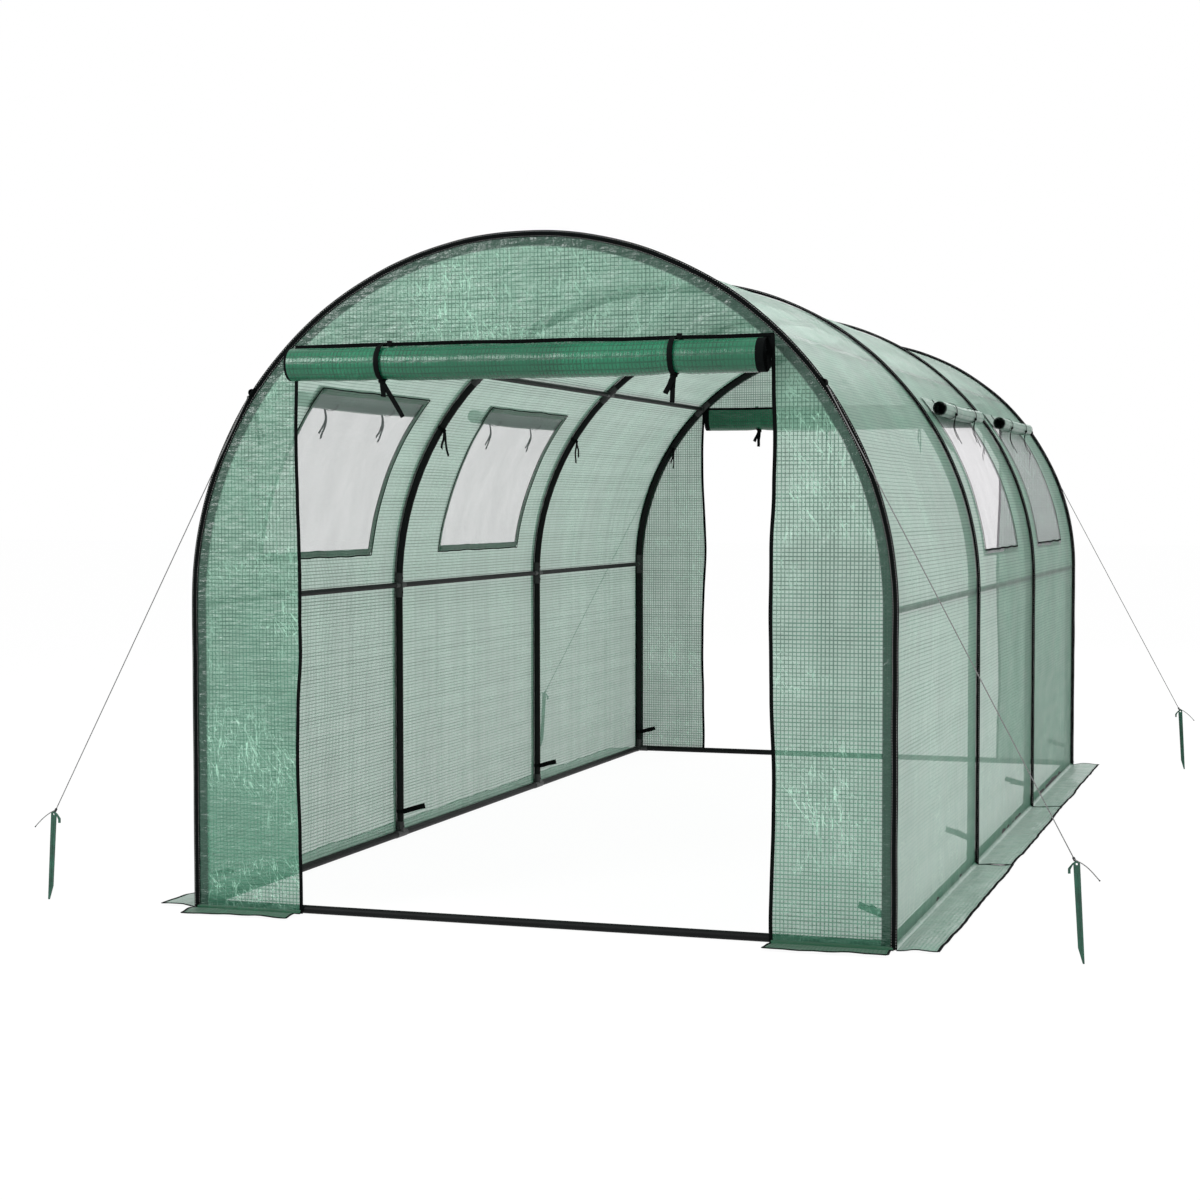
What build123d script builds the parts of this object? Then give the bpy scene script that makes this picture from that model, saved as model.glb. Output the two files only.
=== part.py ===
"""Walk-in polytunnel greenhouse: a tube frame of round hoops under a woven plastic cover.

Millimetres. The origin is on the ground at the middle of the tunnel. X runs across the
tunnel, Y runs along it from the front doorway to the rear one, and Z is up.
"""
from build123d import *
import math
import os

# Frame, measured on the axes of the tubes
bay_length = 1500
bay_count = 3
half_width = 1050
leg_height = 930
tube_radius = 12.5
rail_radius = 9.5
bar_sides = 8
purlin_angle = 46.5

# Fittings between the tubes
fitting_radius = 14
rail_socket_radius = 11
fitting_arm = 45
bend_gap = 0.6

# Cover and binding
seat_gap = 0.3
wrap_gap = 0.7
cloth = 1.5
tape_thickness = 1.5
tape_width = 26
tape_ground_gap = 3

# Doorways
door_roll_radius = 51
door_roll_end_gap = 3
door_roll_drop = 55
door_tie_x = (-425, 455)
door_tie_width = 16
door_tie_tail = 95

# Windows, as angles up the arch from its spring line
window_low_angle = 7.5
window_high_angle = 37.5
window_length = 830
window_shift = 70
net_lap = 18
net_thickness = 1
window_roll_radius = 27
window_roll_length = 910
window_roll_angle = 35
window_tie_inset = 230
window_tie_width = 12
window_tie_tail = 85
window_tie_seam = 25
window_tie_flat = 20
roll_strap_sides = 12

# Webbing
strap_thickness = 1
hoop_tie_width = 13
hoop_tie_high_angle = 33
hoop_tie_low_height = 95
hoop_tie_tail = 90

# Cloth on the ground
skirt_width = 125
skirt_gap = 6
flap_width = 100

# Guy lines and pegs
tab_angle = 36
tab_length = 34
tab_width = 30
tab_height = 12
tab_overhang = 16
tab_chamfer = 3
line_standoff = 9
line_radius = 1.5
line_sides = 6
knot_radius = 4
knot_length = 12
line_tail = 85
peg_x = 1560
peg_height = 275
peg_width = 17
peg_thickness = 5
peg_lean = 14
peg_point = 42
peg_tip = 4
peg_hook_reach = 14
peg_hook_drop = 23
peg_hook_width = 6
peg_eye_radius = 3.5

# Places that follow from the sizes above
tunnel_length = bay_length * bay_count
hoop_ys = [-tunnel_length / 2 + bay_length * n for n in range(bay_count + 1)]
fitting_flat = fitting_radius * math.cos(math.pi / bar_sides)
base_axis = fitting_flat
cover_inner = half_width + fitting_radius + wrap_gap
cover_outer = cover_inner + cloth
tape_inner = cover_outer + wrap_gap
tape_outer = tape_inner + tape_thickness
end_plane = tunnel_length / 2 + fitting_radius + wrap_gap
end_face = end_plane + cloth
purlin_x = half_width * math.cos(math.radians(purlin_angle))
head_height = leg_height + half_width * math.sin(math.radians(purlin_angle))
jamb_x = purlin_x
bend_angle = math.degrees((fitting_arm + bend_gap) / half_width)
sides = (-1, 1)
ends = (-1, 1)

os.makedirs("parts", exist_ok=True)


def save(name, piece):
    piece.label = name
    export_step(piece, f"parts/{name}.step")


def arch_point(radius, angle, side=1):
    """A point in the plane of a hoop, given by its angle above the spring line."""
    turn = math.radians(angle)
    return (side * radius * math.cos(turn), leg_height + radius * math.sin(turn))


def side_angle(angle, side):
    """The same angle measured from +X, for the left or the right side."""
    return angle if side > 0 else 180 - angle


def bar_section(radius, sides=bar_sides):
    """The section of a round bar, in few sides, with a flat square to each axis."""
    RegularPolygon(radius, sides, rotation=180 / sides)


def add_bar(start, end, radius, x_dir=None, sides=bar_sides):
    """A straight round bar between two points."""
    way = Vector(*end) - Vector(*start)
    with BuildSketch(Plane(origin=start, x_dir=x_dir, z_dir=way)) as face:
        bar_section(radius, sides)
    extrude(face.sketch, amount=way.length)


def add_upright(x, y, low, high, radius):
    """A round bar that stands at (x, y) from the height low to the height high."""
    add_bar((x, y, low), (x, y, high), radius, x_dir=(1, 0, 0))


def add_rail(x, z, start, end, radius):
    """A round bar along the tunnel from y = start to y = end."""
    add_bar((x, start, z), (x, end, z), radius, x_dir=(1, 0, 0))


def add_cross_rail(y, z, start, end, radius):
    """A round bar across the tunnel from x = start to x = end."""
    add_bar((start, y, z), (end, y, z), radius, x_dir=(0, 1, 0))


def add_arch_tube(y, low, high, radius):
    """A round bar bent along the arch of a hoop between two angles from +X."""
    hoop_plane = Plane((0, y, leg_height), x_dir=(1, 0, 0), z_dir=(0, -1, 0))
    with BuildLine(hoop_plane) as bend:
        CenterArc((0, 0), half_width, low, high - low)
    with BuildSketch(Plane(origin=bend.line @ 0, x_dir=(0, 1, 0), z_dir=bend.line % 0)) as face:
        bar_section(radius)
    sweep(face.sketch, path=bend.line)


def arch_band(inner, outer, low, high):
    """A band of the arch's section in the current sketch, between two angles from +X."""
    with BuildLine() as outline:
        near = CenterArc((0, leg_height), inner, low, high - low)
        far = CenterArc((0, leg_height), outer, low, high - low)
        Line(near @ 0, far @ 0)
        Line(near @ 1, far @ 1)
    make_face(outline.edges())


def leg_band(inner, outer, low, high, side):
    """The same band below the spring line, where the legs are straight."""
    with Locations((side * (inner + outer) / 2, (low + high) / 2)):
        Rectangle(outer - inner, high - low)


def section_plane(y):
    """A plane across the tunnel whose extrusions run towards the rear."""
    return Plane((0, y, 0), x_dir=(1, 0, 0), z_dir=(0, -1, 0))


def bay_span(bay):
    """The start and end of one bay's sheet: the outer sheets reach past the end hoops."""
    start = hoop_ys[bay] if bay > 0 else -end_plane
    end = hoop_ys[bay + 1] if bay < bay_count - 1 else end_plane
    return start, end


def bay_middle(bay):
    return (hoop_ys[bay] + hoop_ys[bay + 1]) / 2


# Hoops: two legs, two side bends and a crown bend, each between two fittings
def make_hoop(y):
    with BuildPart() as hoop:
        for side in sides:
            leg_foot = base_axis + fitting_arm
            add_upright(side * half_width, y, leg_foot, leg_height - fitting_arm, tube_radius)
        low, high = bend_angle, purlin_angle - bend_angle
        add_arch_tube(y, low, high, tube_radius)
        add_arch_tube(y, purlin_angle + bend_angle, 180 - purlin_angle - bend_angle, tube_radius)
        add_arch_tube(y, 180 - high, 180 - low, tube_radius)
    return hoop.part


for number, y in enumerate(hoop_ys, 1):
    save(f"hoop_{number}", make_hoop(y))


# Rails: one length of tube a bay, between the arms of the fittings
def make_rails(x, z, radius):
    with BuildPart() as rails:
        for y in hoop_ys[:-1]:
            add_rail(x, z, y + fitting_arm, y + bay_length - fitting_arm, radius)
    return rails.part


for word, side in (("left", -1), ("right", 1)):
    save(f"base_rails_{word}", make_rails(side * half_width, base_axis, tube_radius))
    save(f"side_rails_{word}", make_rails(side * half_width, leg_height, rail_radius))
    save(f"purlins_{word}", make_rails(side * purlin_x, head_height, rail_radius))

for word, end in (("front", -1), ("rear", 1)):
    with BuildPart() as base_rail:
        reach = half_width - fitting_arm
        add_cross_rail(end * tunnel_length / 2, base_axis, -reach, reach, tube_radius)
    save(f"base_rail_{word}", base_rail.part)


def add_rail_arms(x, y, z, radius):
    """The arms of a fitting that hold the rails of the bays on either side of it."""
    start = y - fitting_arm if y > hoop_ys[0] else y
    end = y + fitting_arm if y < hoop_ys[-1] else y
    add_rail(x, z, start, end, radius)


def add_core(x, y, z, turn=0.0):
    """The block in the middle of a fitting, turned in the plane of the hoop."""
    with BuildSketch(Plane((x, y + fitting_flat, z), x_dir=(1, 0, 0), z_dir=(0, -1, 0))) as block:
        Rectangle(2 * fitting_flat, 2 * fitting_flat, rotation=turn)
    extrude(block.sketch, amount=2 * fitting_flat)


def add_hoop_arms(y, angle, side):
    """The core of a fitting on an arch and its two arms along the hoop."""
    x, z = arch_point(half_width, angle, side)
    turn = side_angle(angle, side)
    along = Vector(-math.sin(math.radians(turn)), 0, math.cos(math.radians(turn)))
    middle = Vector(x, y, z)
    start = middle - along * fitting_arm
    end = middle + along * fitting_arm
    add_bar(start, end, fitting_radius, x_dir=(0, 1, 0))
    add_core(x, y, z, turn)
    add_rail_arms(x, y, z, rail_socket_radius)


# Fittings at the feet, with an arm for each tube that meets there
with BuildPart() as base_joints:
    for side in sides:
        for y in hoop_ys:
            x = side * half_width
            add_core(x, y, base_axis)
            add_upright(x, y, base_axis, base_axis + fitting_arm, fitting_radius)
            add_rail_arms(x, y, base_axis, fitting_radius)
            if y in (hoop_ys[0], hoop_ys[-1]):
                inner_x = side * (half_width - fitting_arm)
                add_cross_rail(y, base_axis, min(x, inner_x), max(x, inner_x), fitting_radius)
save("base_joints", base_joints.part)

# Fittings where the legs meet the arches, and high on the arches level with the door heads
for name, angle in (("side_joints", 0), ("purlin_joints", purlin_angle)):
    with BuildPart() as joints:
        for side in sides:
            for y in hoop_ys:
                add_hoop_arms(y, angle, side)
    save(name, joints.part)


def window_bays(side):
    """The windows are in the two front bays on the left and the two rear bays on the right."""
    return (0, 1) if side < 0 else (1, 2)


def window_middle(side, bay):
    """Windows sit off the middle of a bay: to the rear on the left, to the front on the right."""
    return bay_middle(bay) - side * window_shift


def window_span(side, bay, margin=0.0):
    middle = window_middle(side, bay)
    return middle - window_length / 2 - margin, middle + window_length / 2 + margin


def add_window_block(side, bay):
    """The piece of a wall sheet that a window takes away."""
    start, end = window_span(side, bay)
    angles = sorted((side_angle(window_low_angle, side), side_angle(window_high_angle, side)))
    with BuildSketch(section_plane(start)) as opening:
        arch_band(cover_inner - cloth, cover_outer + cloth, *angles)
    extrude(opening.sketch, amount=-(end - start), mode=Mode.SUBTRACT)


# Cover: each bay has a sheet from the ground up over the arch and down, parted at the purlins
for bay in range(bay_count):
    start, end = bay_span(bay)
    for word, side in (("left", -1), ("right", 1)):
        angles = sorted((side_angle(0, side), side_angle(purlin_angle, side)))
        with BuildPart() as wall_cover:
            with BuildSketch(section_plane(start)):
                leg_band(cover_inner, cover_outer, 0, leg_height, side)
                arch_band(cover_inner, cover_outer, *angles)
            extrude(amount=-(end - start))
            if bay in window_bays(side):
                add_window_block(side, bay)
        save(f"wall_cover_{word}_{bay + 1}", wall_cover.part)
    with BuildPart() as roof_cover:
        with BuildSketch(section_plane(start)):
            arch_band(cover_inner, cover_outer, purlin_angle, 180 - purlin_angle)
        extrude(amount=-(end - start))
    save(f"roof_cover_{bay + 1}", roof_cover.part)


def end_sheet(low, high, left, right):
    """A part of an end wall in the current sketch: what lies in a rectangle of the outline."""
    with Locations((0, leg_height / 2)):
        Rectangle(2 * cover_outer, leg_height)
    with Locations((0, leg_height)):
        Circle(cover_outer)
    with Locations(((left + right) / 2, (low + high) / 2)):
        Rectangle(right - left, high - low, mode=Mode.INTERSECT)


def end_start(end):
    """Where the extrusion of an end sheet starts, to run towards the rear by the cloth."""
    return -end_face if end < 0 else end_plane


# End walls: a gable over the doorway and a narrow panel at each side of it
roof_top = leg_height + cover_outer
for word, end in (("front", -1), ("rear", 1)):
    with BuildPart() as gable:
        with BuildSketch(section_plane(end_start(end))):
            end_sheet(head_height, roof_top, -cover_outer, cover_outer)
        extrude(amount=-cloth)
    save(f"gable_{word}", gable.part)
    for side_word, side in (("left", -1), ("right", 1)):
        edges = sorted((side * jamb_x, side * cover_outer))
        with BuildPart() as end_panel:
            with BuildSketch(section_plane(end_start(end))):
                end_sheet(0, head_height, *edges)
            extrude(amount=-cloth)
        save(f"end_panel_{word}_{side_word}", end_panel.part)

# Doors, rolled up outside: the cloth hangs from the gable's edge and winds into the roll
door_roll_y = end_plane + door_roll_radius
door_roll_z = head_height - door_roll_drop
door_roll_half = jamb_x - door_roll_end_gap


def roll_section_plane(x, end):
    """A plane along the tunnel whose first axis points out of the end and second is up."""
    return Plane((x, 0, 0), x_dir=(0, end, 0), z_dir=(end, 0, 0))


for word, end in (("front", -1), ("rear", 1)):
    with BuildPart() as door_roll:
        with BuildSketch(roll_section_plane(-end * door_roll_half, end)):
            with Locations((door_roll_y, door_roll_z)):
                Circle(door_roll_radius)
            with Locations((end_plane + cloth / 2, (door_roll_z + head_height) / 2)):
                Rectangle(cloth, door_roll_drop)
        extrude(amount=2 * door_roll_half)
    save(f"door_roll_{word}", door_roll.part)


def add_door_strap():
    """A strap over and under a door roll in the current sketch, with a hanging tail."""
    inner = door_roll_radius + seat_gap
    outer = inner + strap_thickness
    with BuildLine() as outline:
        near = CenterArc((door_roll_y, door_roll_z), inner, -90, 180)
        far = CenterArc((door_roll_y, door_roll_z), outer, -90, 180)
        Line(near @ 0, far @ 0)
        Line(near @ 1, far @ 1)
    make_face(outline.edges())
    seam_y = end_face + seat_gap
    with Locations(((seam_y + door_roll_y) / 2, door_roll_z + (inner + outer) / 2)):
        Rectangle(door_roll_y - seam_y, strap_thickness)
    with Locations((door_roll_y, door_roll_z - inner - door_tie_tail / 2)):
        Rectangle(strap_thickness, door_tie_tail)


with BuildPart() as door_ties:
    for end in ends:
        for x in door_tie_x:
            strap_edge = -end * x - end * door_tie_width / 2
            with BuildSketch(roll_section_plane(strap_edge, end)):
                add_door_strap()
            extrude(amount=door_tie_width)
save("door_ties", door_ties.part)

# Windows: a fine net inside each opening, and its rolled up flap above it outside
net_outer = cover_inner - wrap_gap
net_lap_angle = math.degrees(net_lap / net_outer)
window_roll_seat = cover_outer + wrap_gap + strap_thickness + seat_gap
window_tail_angle = math.degrees(window_tie_tail / cover_outer)
window_seam_angle = window_high_angle + math.degrees(window_tie_seam / cover_outer)


def roll_center(side):
    return arch_point(window_roll_seat + window_roll_radius, window_roll_angle, side)


for word, side in (("left", -1), ("right", 1)):
    lap_low = window_low_angle - net_lap_angle
    lap_high = window_high_angle + net_lap_angle
    net_angles = sorted((side_angle(lap_low, side), side_angle(lap_high, side)))
    with BuildPart() as window_nets:
        for bay in window_bays(side):
            start, end = window_span(side, bay, net_lap)
            with BuildSketch(section_plane(start)):
                arch_band(net_outer - net_thickness, net_outer, *net_angles)
            extrude(amount=-(end - start))
    save(f"window_nets_{word}", window_nets.part)
    with BuildPart() as window_rolls:
        for bay in window_bays(side):
            roll_start = window_middle(side, bay) - window_roll_length / 2
            with BuildSketch(section_plane(roll_start)):
                with Locations(roll_center(side)):
                    Circle(window_roll_radius)
            extrude(amount=-window_roll_length)
    save(f"window_rolls_{word}", window_rolls.part)


def strap_ring(inner, count, turn=0.0):
    """A strap wound once round a bar or roll, in few sides, in the current sketch."""
    outer = inner + strap_thickness
    RegularPolygon(outer, count, major_radius=False, rotation=turn + 180 / count)
    RegularPolygon(inner, count, major_radius=False, rotation=turn + 180 / count, mode=Mode.SUBTRACT)


def straight_runs(angles, side):
    """A strap along the outside of the cover, in straight runs between the angles."""
    inner = cover_outer + wrap_gap
    near = [arch_point(inner, angle, side) for angle in angles]
    far = [arch_point(inner + strap_thickness, angle, side) for angle in reversed(angles)]
    Polygon(*near, *far, align=None)


# Each tie is sewn on above its window and goes round the roll, with a tail below it
flat_angle = math.degrees(window_tie_flat / 2 / cover_outer)
flat_low, flat_high = window_roll_angle - flat_angle, window_roll_angle + flat_angle
tail_end = window_roll_angle - window_tail_angle
tail_step = (flat_low - tail_end) / 3
tie_angles = [tail_end, tail_end + tail_step, tail_end + 2 * tail_step, flat_low, flat_high]
tie_angles += [(flat_high + window_seam_angle) / 2, window_seam_angle]
with BuildPart() as window_ties:
    for side in sides:
        roll_turn = side_angle(window_roll_angle, side)
        for bay in window_bays(side):
            for step in (-1, 1):
                tie_y = window_middle(side, bay) + step * window_tie_inset
                with BuildSketch(section_plane(tie_y - window_tie_width / 2)):
                    with Locations(roll_center(side)):
                        strap_ring(window_roll_radius + seat_gap, roll_strap_sides, roll_turn)
                    straight_runs(tie_angles, side)
                extrude(amount=-window_tie_width)
save("window_ties", window_ties.part)


# Binding sewn over each hoop, outside the cover
def tape_start(number):
    """Where a tape starts along the tunnel: the end ones line up with the end walls."""
    if number == 1:
        return -end_face
    if number == len(hoop_ys):
        return end_face - tape_width
    return hoop_ys[number - 1] - tape_width / 2


for number in range(1, len(hoop_ys) + 1):
    with BuildPart() as hoop_tape:
        with BuildSketch(section_plane(tape_start(number))):
            for side in sides:
                leg_band(tape_inner, tape_outer, tape_ground_gap, leg_height, side)
            arch_band(tape_inner, tape_outer, 0, 180)
        extrude(amount=-tape_width)
    save(f"hoop_tape_{number}", hoop_tape.part)

# Straps that tie the cover to the hoops, inside: two on each side of each hoop
strap_inner = tube_radius + seat_gap
strap_outer = strap_inner + strap_thickness
strap_middle = (strap_inner + strap_outer) / 2
with BuildPart() as hoop_ties:
    for y in hoop_ys:
        for side in sides:
            x, z = arch_point(half_width, hoop_tie_high_angle, side)
            turn = math.radians(side_angle(hoop_tie_high_angle, side))
            along = Vector(-math.sin(turn), 0, math.cos(turn)) * side
            ring_start = Vector(x, y, z) - along * (hoop_tie_width / 2)
            with BuildSketch(Plane(origin=ring_start, x_dir=(0, 1, 0), z_dir=along)):
                strap_ring(strap_inner, bar_sides)
            extrude(amount=hoop_tie_width)
            tail_x, tail_z = arch_point(half_width - strap_middle, hoop_tie_high_angle, side)
            with Locations((tail_x, y, tail_z - hoop_tie_tail / 2)):
                Box(strap_thickness, hoop_tie_width, hoop_tie_tail)
            with BuildSketch(Plane.XY.offset(hoop_tie_low_height - hoop_tie_width / 2)):
                with Locations((side * half_width, y)):
                    strap_ring(strap_inner, bar_sides)
                with Locations((side * (half_width - strap_middle - hoop_tie_tail / 2), y)):
                    Rectangle(hoop_tie_tail, strap_thickness)
            extrude(amount=hoop_tie_width)
save("hoop_ties", hoop_ties.part)

# Skirts along the sides and flaps at the ends, which lie on the ground
for word, side in (("left", -1), ("right", 1)):
    with BuildPart() as skirt:
        for bay in range(bay_count):
            start, end = bay_span(bay)
            start += skirt_gap / 2 if bay > 0 else 0
            end -= skirt_gap / 2 if bay < bay_count - 1 else 0
            with BuildSketch(Plane.XY):
                with Locations((side * (cover_outer + skirt_width / 2), (start + end) / 2)):
                    Rectangle(skirt_width, end - start)
            extrude(amount=cloth)
    save(f"skirt_{word}", skirt.part)

for word, end in (("front", -1), ("rear", 1)):
    with BuildPart() as flap:
        with BuildSketch(Plane.XY):
            for side in sides:
                middle_x = side * (jamb_x + cover_outer) / 2
                with Locations((middle_x, end * (end_face + flap_width / 2))):
                    Rectangle(cover_outer - jamb_x, flap_width)
        extrude(amount=cloth)
    save(f"flap_{word}", flap.part)

# Guy lines: a tab on each end hoop, a taut line and a peg that stands on its point
tab_y = end_face + tab_overhang - tab_width / 2
line_y = end_face + line_standoff
tab_seat = tape_outer + seat_gap
head_radius = peg_width / 2
head_z = peg_height - head_radius
line_top_angle = tab_angle - math.degrees((tab_length / 2 + 2 * seat_gap) / tab_seat)
line_top_x, line_top_z = arch_point(tab_seat + tab_height / 2, line_top_angle)
line_rise = Vector(line_top_x - peg_x, 0, line_top_z - head_z).normalized()
knot = Vector(peg_x, 0, head_z) + line_rise * (head_radius + seat_gap + knot_length / 2)
tail_slope = 38
tail_step = peg_thickness / 2 + line_radius + seat_gap


def corner(point, side, end):
    """A point of the front right guy line moved to one of the four corners."""
    return (side * point.X, end * (line_y - point.Y), point.Z)


with BuildPart() as guy_tabs:
    for side in sides:
        for end in ends:
            x, z = arch_point(tab_seat, tab_angle, side)
            turn = math.radians(side_angle(tab_angle, side))
            outward = (math.cos(turn), 0, math.sin(turn))
            with BuildSketch(Plane((x, end * tab_y, z), x_dir=(0, 1, 0), z_dir=outward)) as tab:
                Rectangle(tab_width, tab_length)
                chamfer(tab.vertices(), tab_chamfer)
            extrude(amount=tab_height)
save("guy_tabs", guy_tabs.part)

line_top = Vector(line_top_x, 0, line_top_z)
tail_start = knot + Vector(0, -tail_step, 0)
tail_way = Vector(math.cos(math.radians(tail_slope)), 0, -math.sin(math.radians(tail_slope)))
tail_finish = tail_start + tail_way * line_tail
knot_low = knot - line_rise * (knot_length / 2)
knot_high = knot + line_rise * (knot_length / 2)
with BuildPart() as guy_lines:
    for side in sides:
        for end in ends:
            for start, finish, radius in (
                (line_top, knot, line_radius),
                (knot_high, knot_low, knot_radius),
                (tail_start, tail_finish, line_radius),
            ):
                bar_ends = (corner(start, side, end), corner(finish, side, end))
                add_bar(*bar_ends, radius, sides=line_sides)
save("guy_lines", guy_lines.part)


# Pegs: a flat blade with a slanting point, an eye in its round head and a hook towards the tunnel
hook_top = peg_height - peg_hook_width / 2
hook_out = -head_radius - peg_hook_reach
hook_knee = peg_height - peg_hook_drop
hook_end = hook_knee - peg_hook_drop / 2
with BuildPart() as pegs:
    for side in sides:
        for end in ends:
            peg_face = end * line_y + side * peg_thickness / 2
            peg_plane = Plane((side * peg_x, peg_face, 0), x_dir=(side, 0, 0), z_dir=(0, -side, 0))
            with BuildSketch(peg_plane):
                with BuildLine():
                    Polyline(
                        (-head_radius, head_z),
                        (-head_radius + peg_lean, peg_point),
                        (head_radius + peg_lean - peg_tip, 0),
                        (head_radius + peg_lean, 0),
                        (head_radius, head_z),
                        close=True,
                    )
                make_face()
                with BuildLine():
                    Polyline(
                        (0, hook_top),
                        (-head_radius, hook_top - peg_hook_width / 2),
                        (hook_out, hook_knee + peg_hook_width / 2),
                        (hook_out, hook_end),
                        (hook_out + peg_hook_width, hook_end),
                        (hook_out + peg_hook_width, hook_knee),
                        (-head_radius, head_z - peg_hook_width / 2),
                        (0, head_z - peg_hook_width / 2),
                        close=True,
                    )
                make_face()
                with Locations((0, head_z)):
                    Circle(head_radius)
                    Circle(peg_eye_radius, mode=Mode.SUBTRACT)
            extrude(amount=peg_thickness)
save("pegs", pegs.part)
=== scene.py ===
"""Walk-in polytunnel greenhouse, dressed for a picture: round steel tubes, a woven plastic
cover with netted windows, rolled doors, bindings, ties, guy lines and pegs.

Metres. The origin is on the ground at the middle of the tunnel. X runs across the tunnel,
Y runs along it from the front doorway to the rear one, and Z is up.
"""
import math

import bpy
from bpy.props import FloatProperty, FloatVectorProperty, IntProperty, PointerProperty
from mathutils import Matrix, Vector, noise


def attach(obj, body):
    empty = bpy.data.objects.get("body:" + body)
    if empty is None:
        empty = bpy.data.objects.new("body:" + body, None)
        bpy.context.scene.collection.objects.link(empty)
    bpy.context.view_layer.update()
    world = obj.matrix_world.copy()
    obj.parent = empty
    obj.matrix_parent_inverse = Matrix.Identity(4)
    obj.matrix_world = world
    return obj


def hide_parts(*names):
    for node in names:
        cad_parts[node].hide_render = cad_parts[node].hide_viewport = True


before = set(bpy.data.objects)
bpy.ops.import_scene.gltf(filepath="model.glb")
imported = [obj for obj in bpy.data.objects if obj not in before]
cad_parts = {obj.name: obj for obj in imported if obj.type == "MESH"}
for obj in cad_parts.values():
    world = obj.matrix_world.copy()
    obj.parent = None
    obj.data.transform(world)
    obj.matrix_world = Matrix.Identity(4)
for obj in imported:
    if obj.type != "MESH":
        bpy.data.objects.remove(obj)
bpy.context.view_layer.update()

bl_info = {
    "name": "Polytunnel greenhouse",
    "version": (1, 0, 0),
    "blender": (4, 5, 0),
    "location": "View3D > Sidebar > Polytunnel",
    "description": "Dresses the frame of a polytunnel with its cover, doors, windows and guy lines",
    "category": "Add Mesh",
}

# Frame, as in the part's source
HOOP_YS = [-2.25, -0.75, 0.75, 2.25]
BAY_LENGTH = 1.5
HALF_WIDTH = 1.05
LEG_HEIGHT = 0.93
TUBE_RADIUS = 0.0125
RAIL_RADIUS = 0.0095
FITTING_RADIUS = 0.014
SOCKET_RADIUS = 0.011
FITTING_ARM = 0.045
BASE_AXIS = 0.01293
PURLIN_ANGLE = math.radians(46.5)
PURLIN_X = HALF_WIDTH * math.cos(PURLIN_ANGLE)
HEAD_HEIGHT = LEG_HEIGHT + HALF_WIDTH * math.sin(PURLIN_ANGLE)
SIDES = (("left", -1), ("right", 1))
ENDS = (("front", -1), ("rear", 1))
RAIL_START = 0.02

# Meshes
FULL_TURN = 2 * math.pi
ROW_STEP = 0.02
TAIL_STEP = 0.1
KNOT_SCALE = (0.6, 1, 0.6)
SHARP_EDGE = 40

# Cover
COVER_INNER = 1.0647
COVER_OUTER = 1.0662
COVER_RADIUS = (COVER_INNER + COVER_OUTER) / 2
END_PLANE = 2.2647
END_FACE = 2.2662
END_MIDDLE = (END_PLANE + END_FACE) / 2
TAPE_RADIUS = 1.0677
TAPE_WIDTH = 0.026
ARCH_GIRTH = math.pi * COVER_RADIUS
GIRTH = 2 * LEG_HEIGHT + ARCH_GIRTH
JAMB_X = PURLIN_X

# Windows
WINDOW_LOW = math.radians(7.5)
WINDOW_HIGH = math.radians(37.5)
WINDOW_LENGTH = 0.83
WINDOW_SHIFT = 0.07
WINDOW_BAYS = {-1: (0, 1), 1: (1, 2)}
NET_LAP = 0.018
NET_RADIUS = 1.0635
ROLL_ANGLE = math.radians(35)
WINDOW_ROLL_RADIUS = 0.027
WINDOW_ROLL_LENGTH = 0.91
WINDOW_ROLL_CENTRE = 1.0952
WINDOW_TIE_INSET = 0.23

# Doors
DOOR_ROLL_RADIUS = 0.051
DOOR_ROLL_Y = END_PLANE + DOOR_ROLL_RADIUS
DOOR_ROLL_Z = HEAD_HEIGHT - 0.055
DOOR_ROLL_HALF = JAMB_X - 0.003
DOOR_TIE_XS = (-0.425, 0.455)

# Guy lines and pegs
TAB_ANGLE = math.radians(36)
TAB_SEAT = 1.0687
TAB_LENGTH = 0.034
TAB_WIDTH = 0.030
TAB_HEIGHT = 0.012
TAB_Y = END_FACE + 0.016 - TAB_WIDTH / 2
LINE_Y = END_FACE + 0.009
LINE_RADIUS = 0.0015
KNOT_LENGTH = 0.012
PEG_X = 1.56
PEG_HEIGHT = 0.275
PEG_HEAD = 0.0085
PEG_HEAD_Z = PEG_HEIGHT - PEG_HEAD

# The photograph's camera
CAMERA_PLACE = (2.1673, -8.2251, 1.2254)
CAMERA_YAW = -0.3157
CAMERA_PITCH = -0.0433
CAMERA_ROLL = -0.0009
CAMERA_LENS = 66.19
SENSOR_WIDTH = 36.0

# Looks that several finishes share
WHITE = (1.0, 1.0, 1.0, 1.0)
# Painted shade at the foot of the walls: its tint, and the heights over which it fades
FOOT_SHADE_TINT = (0.22, 0.52, 0.42)
FOOT_SHADE_LOW, FOOT_SHADE_HIGH = -0.1, 1.15
THREAD_COVER = 0.85
SEAM_TAPE_WIDTH = 0.020
STITCH_INSET = 0.0035
STITCH_PITCH = 0.0075
NET_PITCH = 0.0022


def ripple(x, y, seed):
    """Smooth waves between about -1 and 1; the seed sets apart the waves of each piece."""
    return noise.noise(Vector((x, y, seed)))


def steps(start, end, size):
    """Evenly spaced values from start to end, about size apart."""
    count = max(1, round(abs(end - start) / size))
    return [start + (end - start) * n / count for n in range(count + 1)]


def marked_steps(marks, size):
    """Evenly spaced values that also stop at every mark."""
    values = [marks[0]]
    for low, high in zip(marks, marks[1:]):
        values += steps(low, high, size)[1:]
    return values


def ring(middle, first, second, radius, step):
    """Points round a circle, from the first way towards the second."""
    return [
        middle + first * (radius * math.cos(t)) + second * (radius * math.sin(t))
        for t in steps(0, FULL_TURN, step)[:-1]
    ]


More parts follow.
